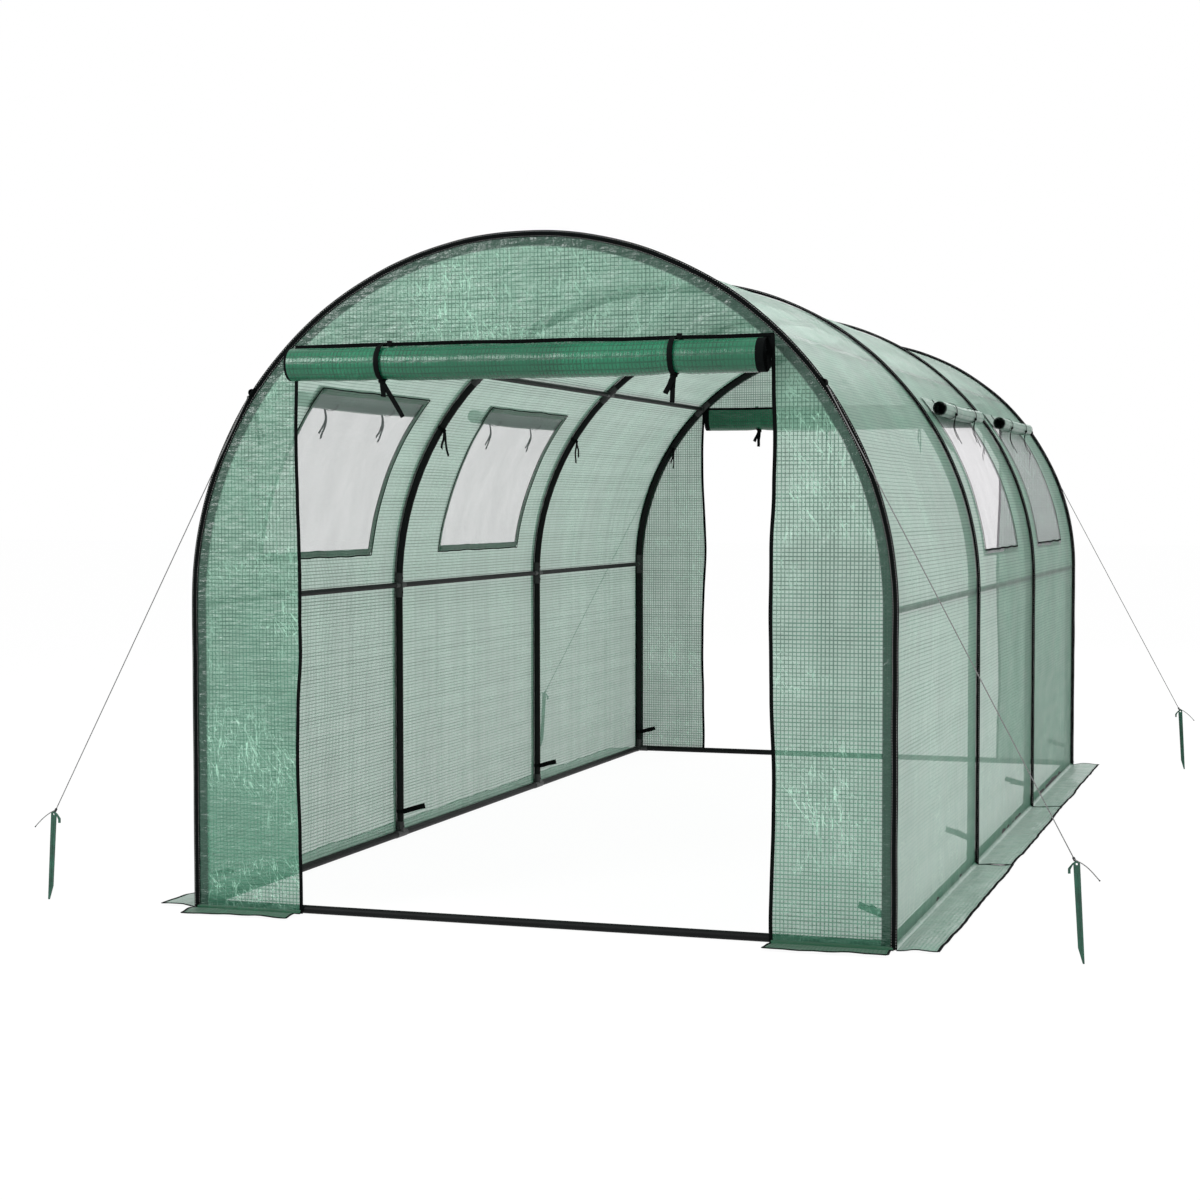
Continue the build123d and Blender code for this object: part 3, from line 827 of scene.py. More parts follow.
class POLYTUNNEL_OT_stage(TunnelOperator, bpy.types.Operator):
    """Adds the camera, the lamps, the world and the floor"""

    bl_idname = "polytunnel.stage"
    bl_label = "Stage"

    # Name, place, width and power of each lamp, and the point that they light
    lamps = (
        ("key_lamp", (-4.5, -8.0, 4.6), 3.5, 350),
        ("fill_lamp", (5.0, -3.0, 8.0), 3.5, 300),
        ("back_lamp", (1.0, 8.0, 6.0), 4.0, 140),
    )
    lamp_aim = (0, 0, 0.9)
    world_light = 0.46
    floor_reach, floor_level, floor_white = 60, -0.001, 0.9

    def make(self, looks):
        scene = bpy.context.scene
        scene.view_settings.view_transform = "Standard"
        self.make_camera(scene)
        self.make_world(scene)
        for lamp in self.lamps:
            self.make_lamp(scene, *lamp)
        reach = self.floor_reach
        corners = [(-reach, -reach), (reach, -reach), (reach, reach), (-reach, reach)]
        mesh = bpy.data.meshes.new("floor")
        mesh.from_pydata([(x, y, self.floor_level) for x, y in corners], [], [(0, 1, 2, 3)])
        mesh.materials.append(white_floor("floor_white", self.floor_white))
        plane = bpy.data.objects.new("floor", mesh)
        scene.collection.objects.link(plane)

    def make_camera(self, scene):
        yaw, pitch, roll = CAMERA_YAW, CAMERA_PITCH, CAMERA_ROLL
        ahead = Vector(
            (math.sin(yaw) * math.cos(pitch), math.cos(yaw) * math.cos(pitch), math.sin(pitch))
        )
        level = Vector((math.cos(yaw), -math.sin(yaw), 0))
        above = level.cross(ahead)
        right = level * math.cos(roll) + above * math.sin(roll)
        top = above * math.cos(roll) - level * math.sin(roll)
        data = bpy.data.cameras.new("camera")
        data.lens = CAMERA_LENS
        data.sensor_width = SENSOR_WIDTH
        data.clip_end = 200
        camera = bpy.data.objects.new("camera", data)
        turn = Matrix((right, top, -ahead)).transposed().to_4x4()
        camera.matrix_world = Matrix.Translation(CAMERA_PLACE) @ turn
        scene.collection.objects.link(camera)
        scene.camera = camera

    def make_world(self, scene):
        world = bpy.data.worlds.new("studio")
        world.use_nodes = True
        scene.world = world
        nodes = Nodes(world.node_tree)
        light = world.node_tree.nodes["Background"]
        nodes.plug(light.inputs["Color"], WHITE)
        nodes.plug(light.inputs["Strength"], self.world_light)
        shown = nodes.node("ShaderNodeBackground", None, {"Color": WHITE, "Strength": 1.0})
        nodes.lay_over(nodes.seen(), light, shown, "World Output")

    def make_lamp(self, scene, name, place, size, power):
        data = bpy.data.lights.new(name, "AREA")
        data.shape = "DISK"
        data.size = size
        data.energy = power
        lamp = bpy.data.objects.new(name, data)
        lamp.location = place
        lamp.rotation_mode = "QUATERNION"
        aim = Vector(self.lamp_aim) - Vector(place)
        lamp.rotation_quaternion = aim.to_track_quat("-Z", "Y")
        scene.collection.objects.link(lamp)


class POLYTUNNEL_OT_frame_tubes(TunnelOperator, bpy.types.Operator):
    """Adds the round hoops and rails"""

    bl_idname = "polytunnel.frame_tubes"
    bl_label = "Frame tubes"
    leg_step = 0.2
    arch_step = 0.06
    rail_step = 0.3
    # Distance from the middle, height and radius of the long rails
    rails = {
        "base_rails": (HALF_WIDTH, BASE_AXIS, TUBE_RADIUS),
        "side_rails": (HALF_WIDTH, LEG_HEIGHT, RAIL_RADIUS),
        "purlins": (PURLIN_X, HEAD_HEIGHT, RAIL_RADIUS),
    }

    def make(self, looks):
        sides = looks.tube_sides
        for number, y in enumerate(HOOP_YS, 1):
            hoop = Cutting()
            leg = steps(BASE_AXIS, LEG_HEIGHT, self.leg_step)
            turns = steps(0, math.pi, self.arch_step)[1:-1]
            path = [(-HALF_WIDTH, y, z) for z in leg]
            path += [arch_place(HALF_WIDTH, math.pi - t, y) for t in turns]
            path += [(HALF_WIDTH, y, z) for z in steps(LEG_HEIGHT, BASE_AXIS, self.leg_step)]
            hoop.tube(path, TUBE_RADIUS, sides)
            self.add_tube(f"hoop_{number}_tube", hoop, f"hoop_{number}", looks)
        for kind, (x, z, radius) in self.rails.items():
            for word, side in SIDES:
                rail = Cutting()
                for start, end in zip(HOOP_YS, HOOP_YS[1:]):
                    ys = steps(start + RAIL_START, end - RAIL_START, self.rail_step)
                    rail.tube([(side * x, y, z) for y in ys], radius, sides)
                self.add_tube(f"{kind}_{word}_tubes", rail, f"{kind}_{word}", looks)
        reach = HALF_WIDTH - RAIL_START
        for word, end in ENDS:
            rail = Cutting()
            xs = steps(-reach, reach, self.rail_step)
            rail.tube([(x, end * HOOP_YS[-1], BASE_AXIS) for x in xs], TUBE_RADIUS, sides)
            self.add_tube(f"base_rail_{word}_tube", rail, f"base_rail_{word}", looks)

    def add_tube(self, name, tube, node, looks):
        steel = finishes(looks, "frame_tube")
        make_piece(name, tube, steel, [node], SHARP_EDGE)


class POLYTUNNEL_OT_fittings(TunnelOperator, bpy.types.Operator):
    """Adds the sleeves that join the tubes, with their rims and screws"""

    bl_idname = "polytunnel.fittings"
    bl_label = "Fittings"
    foot_knuckle = FITTING_RADIUS * 0.92
    arch_knuckle = FITTING_RADIUS * 0.98
    knuckle_rings = 8
    # How far along a sleeve, and how wide it is there
    sleeve = {0.0: 0.99, 0.6: 0.99, 0.8: 0.99, 0.86: 1.0, 0.93: 1.0, 0.98: 0.98, 1.0: 0.9}
    # How far out of its seat a screw head is, and how wide it is there
    screw_head = {0.0: 1.0, 0.0006: 1.0, 0.0012: 0.85, 0.0015: 0.5}
    screw_radius = 0.0038

    def make(self, looks):
        plastic = finishes(looks, "fitting", "frame_tube")
        up = Vector((0, 0, 1))
        base = Cutting()
        for _, side in SIDES:
            for y in HOOP_YS:
                foot, inward = Vector((side * HALF_WIDTH, y, BASE_AXIS)), Vector((-side, 0, 0))
                ways = [up] + self.rail_ways(y)
                if y in (HOOP_YS[0], HOOP_YS[-1]):
                    ways.append(inward)
                self.add_knuckle(base, foot, self.foot_knuckle, looks)
                for way in ways:
                    self.add_sleeve(base, foot, way, FITTING_RADIUS, looks)
                self.add_screw(base, foot, up, inward)
        nodes = ["base_joints"]
        make_piece("base_joint_sleeves", base, plastic, nodes, SHARP_EDGE)
        for name, angle in (("side_joints", 0.0), ("purlin_joints", PURLIN_ANGLE)):
            joints = Cutting()
            for _, side in SIDES:
                outward, along = arch_ways(angle, side)
                for y in HOOP_YS:
                    middle = arch_place(HALF_WIDTH, angle, y, side)
                    self.add_knuckle(joints, middle, self.arch_knuckle, looks)
                    for way in (along, -along):
                        self.add_sleeve(joints, middle, way, FITTING_RADIUS, looks)
                        self.add_screw(joints, middle, way, -outward)
                    for way in self.rail_ways(y):
                        self.add_sleeve(joints, middle, way, SOCKET_RADIUS, looks)
            make_piece(f"{name}_sleeves", joints, plastic, [name], SHARP_EDGE)

    def rail_ways(self, y):
        """The ways along the tunnel in which a hoop has a neighbour."""
        return [
            Vector((0, way, 0)) for way in (-1, 1)
            if HOOP_YS[0] <= y + way * BAY_LENGTH <= HOOP_YS[-1]
        ]

    def add_sleeve(self, cutting, middle, way, radius, looks):
        """A sleeve with a rolled rim at its open end."""
        path = [middle + way * (FITTING_ARM * mark) for mark in self.sleeve]
        cutting.tube(path, radius, looks.tube_sides, scale=list(self.sleeve.values()))

    def add_knuckle(self, cutting, middle, radius, looks):
        """The rounded core where the sleeves meet."""
        rings, sides = self.knuckle_rings, looks.tube_sides
        points = [tuple(middle - Vector((0, 0, radius)))]
        for n in range(1, rings):
            turn = math.pi * n / rings
            for k in range(sides):
                way = 2 * math.pi * k / sides
                reach = radius * math.sin(turn)
                offset = (reach * math.cos(way), reach * math.sin(way), -radius * math.cos(turn))
                points.append(tuple(middle + Vector(offset)))
        points.append(tuple(middle + Vector((0, 0, radius))))
        last = len(points) - 1
        faces = [(0, 1 + (k + 1) % sides, 1 + k) for k in range(sides)]
        for n in range(rings - 2):
            low = 1 + n * sides
            for k in range(sides):
                m = (k + 1) % sides
                faces.append((low + k, low + m, low + sides + m, low + sides + k))
        top = 1 + (rings - 2) * sides
        faces += [(last, top + k, top + (k + 1) % sides) for k in range(sides)]
        cutting.add(points, faces)

    def add_screw(self, cutting, middle, way, inward):
        """A low domed screw head on the inner face of a sleeve."""
        seat = middle + way * (FITTING_ARM * 0.58) + inward * (FITTING_RADIUS * 0.97)
        path = [seat + inward * rise for rise in self.screw_head]
        scale = list(self.screw_head.values())
        cutting.tube(path, self.screw_radius, 14, slot=1, scale=scale)


class POLYTUNNEL_OT_cover(TunnelOperator, bpy.types.Operator):
    """Adds the cover: one sheet a bay, over the arch from foot to foot, with window openings"""

    bl_idname = "polytunnel.cover"
    bl_label = "Cover"

    def make(self, looks):
        for bay in range(len(HOOP_YS) - 1):
            start, end = bay_span(bay)
            windows = [side for side, bays in WINDOW_BAYS.items() if bay in bays]
            marks, stops = {0.0, GIRTH}, {start, end}
            for _, side in SIDES:
                marks |= {girth_at(a, side) for a in (0, WINDOW_LOW, WINDOW_HIGH, PURLIN_ANGLE)}
            holes = []
            for side in windows:
                stops |= set(window_span(side, bay))
                angles = sorted((girth_at(WINDOW_LOW, side), girth_at(WINDOW_HIGH, side)))
                holes.append((*angles, *window_span(side, bay)))

            def stays(s, y):
                return not any(a < s < b and c < y < d for a, b, c, d in holes)

            def place(s, y):
                return girth_place(s, y, cover_bulge(s, y, bay))

            rows, columns = (marked_steps(sorted(m), looks.sheet_step) for m in (marks, stops))
            sheet = Cutting()
            sheet.grid(rows, columns, place, stays, flip=True)
            number = bay + 1
            parts = ("wall_cover_left", "roof_cover", "wall_cover_right")
            nodes = [f"{part}_{number}" for part in parts]
            film = finishes(looks, "wall_film")
            piece = make_piece(f"cover_sheet_{number}", sheet, film, nodes)
            area = (end - start) * GIRTH
            area -= len(windows) * WINDOW_LENGTH * COVER_RADIUS * (WINDOW_HIGH - WINDOW_LOW)
            end - start
            f"hoop_{number + 1}_tube"


class POLYTUNNEL_OT_end_walls(TunnelOperator, bpy.types.Operator):
    """Adds the gables and the panels beside the doorways, with their bound edges"""

    bl_idname = "polytunnel.end_walls"
    bl_label = "End walls"
    foot = 0.0015
    trim = 0.0008
    least_cloth = 0.002
    held_beside_hoop = 0.07
    edge_width, edge_thickness, edge_lap = 0.011, 0.0024, 0.004
    # The doorway's edge bows in and out once in this length
    bow, bow_height, bow_length = 0.008, 0.95, 1.05

    def make(self, looks):
        skins = finishes(looks, "end_film", "edging")
        for word, end in ENDS:
            hoop = f"hoop_{1 if end < 0 else len(HOOP_YS)}_tube"
            self.make_gable(word, end, skins, hoop)
            for side_word, side in SIDES:
                self.make_panel(word, end, side_word, side, skins, hoop)

    def header_wave(self, x, end):
        """How far the doorway's upper edge strays from a straight line."""
        return 0.0025 * ripple(x * 5.0 * -end, 0.3, 61.0 + end)

    def make_gable(self, word, end, skins, hoop):
        reach = panel_reach(HEAD_HEIGHT) * 0.998

        def place(x, t):
            foot = HEAD_HEIGHT + self.header_wave(x, end)
            top = max(foot + self.least_cloth, arch_top(x) - self.trim)
            z = foot + (top - foot) * t
            near_hoop = min(1.0, (arch_top(x) - z) / self.held_beside_hoop)
            bulge = end_bulge(x, z, end, near_hoop * min(1.0, 0.35 + (z - foot) / 0.1))
            return (x, end * (END_MIDDLE + bulge), z)

        gable = Cutting()
        gable.grid(steps(-reach, reach, 0.012), steps(0.0, 1.0, 0.06), place, flip=end < 0)
        gable.hang()
        edge = []
        half = JAMB_X + self.edge_lap
        for x in steps(-half, half, ROW_STEP):
            _, y, z = place(x, 0.0)
            edge.append((x, y, z + 0.001))
        gable.strap(edge, (0, 0, 1), self.edge_width, self.edge_thickness, slot=1)
        piece = make_piece(f"gable_{word}_sheet", gable, skins, [f"gable_{word}"])
        half = math.acos((HEAD_HEIGHT - LEG_HEIGHT) / COVER_OUTER)

    def make_panel(self, word, end, side_word, side, skins, hoop):
        seed = 70.0 + 3 * end + side

        def jamb(z):
            """The doorway edge, which hangs in a slow wave."""
            free = math.sin(math.pi * min(1.0, z / HEAD_HEIGHT)) ** 0.5
            wave = -self.bow * math.cos(FULL_TURN * (z - self.bow_height) / self.bow_length)
            wave += 0.008 * ripple(z * 1.9, 0.7, seed) + 0.005 * ripple(z * 5.5, 1.7, seed)
            return JAMB_X + free * wave

        def place(z, t):
            inner = jamb(z)
            outer = max(panel_reach(z) - self.trim, inner + self.least_cloth)
            x = inner + (outer - inner) * t
            from_edge = (panel_reach(z) - x) / self.held_beside_hoop
            loose = max(0.0, min(1.0, from_edge, 0.2 + z / 0.1))
            bulge = end_bulge(side * x, z, end, loose)
            return (side * x, end * (END_MIDDLE + bulge), z)

        panel = Cutting()
        heights = marked_steps([self.foot, LEG_HEIGHT, HEAD_HEIGHT], 0.018)
        panel.grid(heights, steps(0.0, 1.0, 0.045), place, flip=(end * side) > 0)
        panel.hang()
        edge = [place(z, 0.0) for z in steps(self.foot, HEAD_HEIGHT + self.edge_lap, ROW_STEP)]
        panel.strap(edge, (1, 0, 0), self.edge_width, self.edge_thickness, slot=1)
        name = f"end_panel_{word}_{side_word}"
        piece = make_piece(f"{name}_sheet", panel, skins, [name])


class POLYTUNNEL_OT_windows(TunnelOperator, bpy.types.Operator):
    """Adds the nets, their stitched edges, the rolled flaps and the ties round them"""

    bl_idname = "polytunnel.windows"
    bl_label = "Windows"
    edge_margin = 0.004
    # Height over the cover, width, distance from the opening and finish of each sewn edge
    edges = ((0.0026, 0.006, 0.0, 0), (-0.0030, 0.022, 0.009, 1), (-0.0042, 0.004, 0.018, 0))
    winding = Winding(0.007, WINDOW_ROLL_RADIUS - 0.0005, 5.5, 22)
    bound_end, drop = 0.012, 0.072
    tie_width, tie_thickness = 0.012, 0.0012
    knot_turn = math.radians(-62)
    # Lean and length of each tail
    tails = ((0.16, 0.085), (-0.28, 0.068))

    def make(self, looks):
        ties = Cutting()
        for word, side in SIDES:
            for number, bay in enumerate(WINDOW_BAYS[side], 1):
                self.make_net(word, side, number, bay, looks)
                self.make_edges(word, side, number, bay, looks)
                self.make_roll(word, side, number, bay, looks)
                for step in (-WINDOW_TIE_INSET, WINDOW_TIE_INSET):
                    self.add_tie(ties, side, window_middle(side, bay) + step)
        webbing = finishes(looks, "webbing")
        make_piece("window_tie_straps", ties, webbing, ["window_ties"])

    def make_net(self, word, side, number, bay, looks):
        start, end = window_span(side, bay, NET_LAP)
        lap = NET_LAP / NET_RADIUS
        low, high = WINDOW_LOW - lap, WINDOW_HIGH + lap

        def place(angle, y):
            share = (y - start) / (end - start)
            rise = (angle - low) / (high - low)
            slack = math.sin(math.pi * share) * math.sin(math.pi * rise)
            sag = slack * (-0.006 + 0.006 * ripple(angle * 3.0, y * 2.0, 80.0 + bay + side))
            sag += slack * 0.002 * ripple(angle * 9.0 + y * 5.0, y * 6.0, 83.0)
            return arch_place(NET_RADIUS + sag, angle, y, side)

        net = Cutting()
        angles = marked_steps([low, WINDOW_LOW, WINDOW_HIGH, high], ROW_STEP)
        ys = marked_steps([start, start + NET_LAP, end - NET_LAP, end], ROW_STEP)
        net.grid(angles, ys, place, flip=side > 0)
        net.weave = [(a * NET_RADIUS, y, 0.0) for a in angles for y in ys]
        name, node = f"window_net_{word}_{number}", f"window_nets_{word}"
        piece = make_piece(name, net, finishes(looks, "net"), [node])
        flat = (NET_RADIUS * (high - low), end - start)

    def make_edges(self, word, side, number, bay, looks):
        """The sewn line outside, and the hem and its stitched rim inside, round one window."""
        start, end = window_span(side, bay, self.edge_margin)
        low, high = WINDOW_LOW - self.edge_margin, WINDOW_HIGH + self.edge_margin
        hem = Cutting()
        for out, width, margin, slot in self.edges:
            lows, highs = (low - margin, start - margin), (high + margin, end + margin)
            corners = [lows, (lows[0], highs[1]), highs, (highs[0], lows[1])]
            for n, (angle, y) in enumerate(corners):
                to_angle, to_y = corners[(n + 1) % 4]
                path = []
                for t in steps(0, 1, 0.035):
                    a, b = angle + (to_angle - angle) * t, y + (to_y - y) * t
                    wave = 0.004 * ripple(a * 9.0, b * 8.0, 90.0 + side)
                    reach = COVER_RADIUS + cover_bulge(girth_at(a, side), b, bay) + out
                    path.append(arch_place(reach, a + wave, b + wave, side))
                across = (0, 1, 0) if n % 2 else arch_ways(angle, side)[1]
                hem.strap(path, across, width, 0.0012, slot=slot)
        skins = finishes(looks, "edging", "hem_film")
        make_piece(f"window_edge_{word}_{number}", hem, skins)

    def make_roll(self, word, side, number, bay, looks):
        """The flap, wound up on itself from its lower edge and sewn on above the window."""
        middle, half = window_middle(side, bay), WINDOW_ROLL_LENGTH / 2
        ties = [middle + s * WINDOW_TIE_INSET for s in (-1, 1)]
        centre = arch_place(WINDOW_ROLL_CENTRE, ROLL_ANGLE, 0.0, side)
        outward, upward = arch_ways(ROLL_ANGLE, side)

        def place(y, v):
            climb = v - self.winding.length
            if climb > 0:
                stand = 0.0014 + 0.0012 * abs(ripple(y * 6.0, climb * 9.0, 94.0 + bay))
                return arch_place(COVER_OUTER + stand, ROLL_ANGLE + climb / COVER_OUTER, y, side)
            lumps = ripple(y * 5.0, self.winding.turn(v) * 0.35, 95.0 + bay + side)
            swell = 1.0 - 0.05 * pinch(y, ties, 0.03) + 0.05 * lumps
            a, b = self.winding.spot(v, swell)
            spot = centre + outward * a + upward * b
            sag = 0.002 * math.cos(math.pi * ((y - middle) / half))
            return (spot.x, y, spot.z - sag)

        def bound(y, v):
            return int(abs(y - middle) > half - self.bound_end)

        inside = half - self.bound_end
        marks = [middle - half, middle - inside, middle + inside, middle + half]
        length = self.winding.length
        rows = self.winding.rows + [length + self.drop * t for t in steps(0, 1, 0.2)[1:]]
        roll = Cutting()
        roll.grid(marked_steps(marks, ROW_STEP), rows, place, slot_of=bound, flip=side > 0)
        skins = finishes(looks, "roll_film", "edging")
        name, node = f"window_roll_{word}_{number}", f"window_rolls_{word}"
        piece = make_piece(name, roll, skins, [node])

    def add_tie(self, ties, side, y):
        """A tie round a roll, knotted under it, with two loose tails."""
        centre = arch_place(WINDOW_ROLL_CENTRE, ROLL_ANGLE, y, side)
        outward, upward = arch_ways(ROLL_ANGLE, side)
        along = Vector((0, 1, 0))
        radius = WINDOW_ROLL_RADIUS + 0.0009
        loop = ring(centre, outward, upward, radius, 0.26)
        ties.strap(loop, along, self.tie_width, self.tie_thickness, closed=True)
        angles = steps(ROLL_ANGLE, WINDOW_HIGH + 0.023, 0.01)
        sewn = [arch_place(COVER_OUTER + 0.0034, a, y, side) for a in angles]
        ties.strap(sewn, along, self.tie_width, 0.0010)
        a, b = radius * math.cos(self.knot_turn), radius * math.sin(self.knot_turn)
        knot = centre + outward * a + upward * b
        ties.knot(knot, along * 0.008, 0.0055)
        for n, (lean, length) in enumerate(self.tails):
            path = []
            for t in steps(0, 1, TAIL_STEP):
                curl = ripple(t * 2.2, y * 7.0 + n, 97.0)
                down = length * t
                angle = ROLL_ANGLE + math.radians(-1.9) - down / COVER_RADIUS
                reach = COVER_RADIUS + 0.0035 + 0.018 * math.exp(-t * 3.0) + 0.004 * abs(curl)
                spot = arch_place(reach, angle, y + lean * down + 0.004 * curl, side)
                path.append(knot.lerp(spot, min(1.0, t * 4.0)))
            ties.strap(path, along, 0.014, 0.0010)


class POLYTUNNEL_OT_doors(TunnelOperator, bpy.types.Operator):
    """Adds the doors, rolled up under the gables, and the ties round them"""

    bl_idname = "polytunnel.doors"
    bl_label = "Doors"
    winding = Winding(0.010, DOOR_ROLL_RADIUS - 0.001, 8.5, 26)
    drop = HEAD_HEIGHT - DOOR_ROLL_Z
    # The bound ends of the roll are unlike
    wide_end, narrow_end = 0.024, 0.007
    # Lean and length of the tails of either tie
    slanting_tails = ((0.62, 0.105), (0.10, 0.045))
    plain_tails = ((-0.06, 0.075), (-0.5, 0.05))

    def make(self, looks):
        ties = Cutting()
        for word, end in ENDS:
            self.make_roll(word, end, looks)
            for x in DOOR_TIE_XS:
                self.add_tie(ties, -end * x, end)
        webbing = finishes(looks, "webbing")
        make_piece("door_tie_straps", ties, webbing, ["door_ties"])

    def make_roll(self, word, end, looks):
        half, length = DOOR_ROLL_HALF, self.winding.length

        def place(x, v):
            if v > length:
                climb = min(v - length, self.drop - 0.001)
                return (x, end * (END_PLANE + 0.0009), DOOR_ROLL_Z + climb)
            across = -end * x
            drawn = pinch(across, DOOR_TIE_XS, 0.035)
            turn = self.winding.turn(v)
            lumps = ripple(across * 3.0 + turn * 0.08, turn * 0.22, 101.0 + end)
            lumps += 0.4 * ripple(across * 11.0, turn * 0.5, 104.0 + end)
            swell = 1.0 - 0.05 * drawn + 0.045 * lumps * (v / length)
            a, b = self.winding.spot(v, swell)
            sag = 0.004 * math.cos(math.pi * (x / half) / 2) * (1 - drawn)
            return (x, end * (DOOR_ROLL_Y + a), DOOR_ROLL_Z + b - sag)

        def bound(x, v):
            across = -end * x
            return int(across > half - self.wide_end or across < self.narrow_end - half)

        wide, narrow = half - self.wide_end, self.narrow_end - half
        marks = sorted([-half, half, -end * wide, -end * narrow])
        rows = self.winding.rows + [length + self.drop * t for t in (0.25, 0.5, 0.75, 1.0)]
        roll = Cutting()
        roll.grid(marked_steps(marks, ROW_STEP), rows, place, slot_of=bound, flip=end > 0)
        skins = finishes(looks, "door_film", "edging")
        name, node = f"door_roll_{word}_sheet", f"door_roll_{word}"
        piece = make_piece(name, roll, skins, [node])

    def add_tie(self, ties, x, end):
        """A strap from the doorway's upper edge over the roll and under it, with two tails."""
        radius = DOOR_ROLL_RADIUS + 0.0008
        path = [(x, end * (END_FACE + 0.0009), HEAD_HEIGHT + 0.012)]
        path.append((x, end * (END_FACE + 0.0012), HEAD_HEIGHT - 0.002))
        for t in steps(math.radians(110), math.radians(-125), 0.16):
            y, z = DOOR_ROLL_Y + radius * math.cos(t), DOOR_ROLL_Z + radius * math.sin(t)
            path.append((x, end * y, z))
        ties.strap(path, (1, 0, 0), 0.016, 0.0012)
        knot = Vector((x, end * (DOOR_ROLL_Y + 0.006), DOOR_ROLL_Z - radius - 0.002))
        ties.knot(knot, Vector((0.010, 0, 0)), 0.008, 12)
        tails = self.slanting_tails if x * end > 0 else self.plain_tails
        for n, (lean, length) in enumerate(tails):
            tail = []
            for t in steps(0, 1, TAIL_STEP):
                curl = ripple(t * 2.0, x * 3.0 + n, 110.0 + end) * t
                sway = (lean * length * t + 0.008 * curl, end * 0.012 * curl, -length * t)
                tail.append(knot + Vector(sway))
            ties.strap(tail, (1, 0.25 * (n - 0.5), 0), 0.015, 0.0011)


class POLYTUNNEL_OT_hoop_bindings(TunnelOperator, bpy.types.Operator):
    """Adds the sewn tapes over the hoops, with the bound seams that stand up from them"""

    bl_idname = "polytunnel.hoop_bindings"
    bl_label = "Hoop bindings"
    # Half of each seam's section: on a middle hoop it stands up, on an end hoop it lies flat
    standing = [(-0.0015, 0.0), (-0.0018, 0.006), (-0.0012, 0.0096), (0.0, 0.0102)]
    lying = [(-0.0009, -0.0085), (-0.0011, 0.0), (-0.0011, 0.0085), (-0.0004, 0.0100)]

    def make(self, looks):
        tapes = finishes(looks, "binding", "seam_tape")
        fin = self.standing + [(-a, b) for a, b in reversed(self.standing[:-1])]
        face = self.lying + [(-a, b) for a, b in reversed(self.lying)]
        for number, hoop_y in enumerate(HOOP_YS, 1):
            end = {1: -1, len(HOOP_YS): 1}.get(number, 0)
            y = end * (END_FACE - TAPE_WIDTH / 2) if end else hoop_y
            path, seam = [], []
            for s in steps(GIRTH - 0.003, 0.003, ROW_STEP):
                wave = 0.0012 * ripple(s * 7.0, 0.0, 120.0 + number)
                lift = TAPE_RADIUS - COVER_RADIUS + 0.0005 * ripple(s * 9.0, 1.0, 125.0 + number)
                path.append(girth_place(s, y + wave, lift))
                lean = 0.0016 * ripple(s * 5.0, 2.0, 127.0 + number)
                seam_y = end * (END_FACE + 0.0011) if end else hoop_y + lean
                rise = lift + 0.0012 * ripple(s * 6.0, 3.0, 128.0 + number)
                seam.append(girth_place(s, seam_y, rise))
            band = Cutting()
            band.strap(path, (0, 1, 0), TAPE_WIDTH, 0.0014, crown=0.0008)
            start = len(band.points)
            band.sweep(seam, face if end else fin, across=(0, 1, 0), slot=1)
            band.weave[start:] = [(run, b, a) for run, a, b in band.weave[start:]]
            name = f"hoop_tape_{number}"
            make_piece(f"{name}_band", band, tapes, [name])


class POLYTUNNEL_OT_hoop_ties(TunnelOperator, bpy.types.Operator):
    """Adds the short ties that hold the cover to the hoops, inside"""

    bl_idname = "polytunnel.hoop_ties"
    bl_label = "Hoop ties"
    high_angle = math.radians(33)
    low_height = 0.095
    knot_reach = 0.0145

    def make(self, looks):
        ties = Cutting()
        up, back = Vector((0, 0, 1)), Vector((0, 1, 0))
        for _, side in SIDES:
            outward, along = arch_ways(self.high_angle, side)
            for y in HOOP_YS:
                inner = -y / abs(y)
                high = arch_place(HALF_WIDTH, self.high_angle, y, side)
                self.add_ring(ties, high, along, -outward)
                short_lean = -0.5 if abs(y) < BAY_LENGTH else 0.75
                tails = ((0.30 * inner, 0.092), (short_lean * inner, 0.066))
                knot = high - outward * self.knot_reach
                self.add_tails(ties, knot, -up, back, side, y, tails)
                low = Vector((side * HALF_WIDTH, y, self.low_height))
                inward = Vector((-side, 0, 0))
                self.add_ring(ties, low, up, inward)
                slope = (inward + up * 0.30).normalized()
                tails = ((0.25 * inner, 0.075), (0.9 * inner, 0.045))
                knot = low + inward * self.knot_reach
                self.add_tails(ties, knot, slope, up, side, y, tails)
        webbing = finishes(looks, "webbing")
        make_piece("hoop_tie_straps", ties, webbing, ["hoop_ties"])

    def add_ring(self, ties, middle, along, inward):
        path = ring(middle, inward, along.cross(inward), TUBE_RADIUS + 0.0009, 0.35)
        ties.strap(path, along, 0.013, 0.0011, closed=True)

    def add_tails(self, ties, knot, way, across, side, y, tails):
        """A small knot and two tails of unlike length."""
        ties.knot(knot, across * 0.009, 0.006)
        for n, (lean, length) in enumerate(tails):
            path = []
            for t in steps(0, 1, TAIL_STEP):
                curl = ripple(t * 2.0, y * 3.0 + side + n, 130.0) * t
                sway = Vector((-side * 0.010 * curl, lean * length * t + 0.004 * curl, 0))
                path.append(knot + way * (length * t) + sway)
            ties.strap(path, across, 0.019, 0.0010)


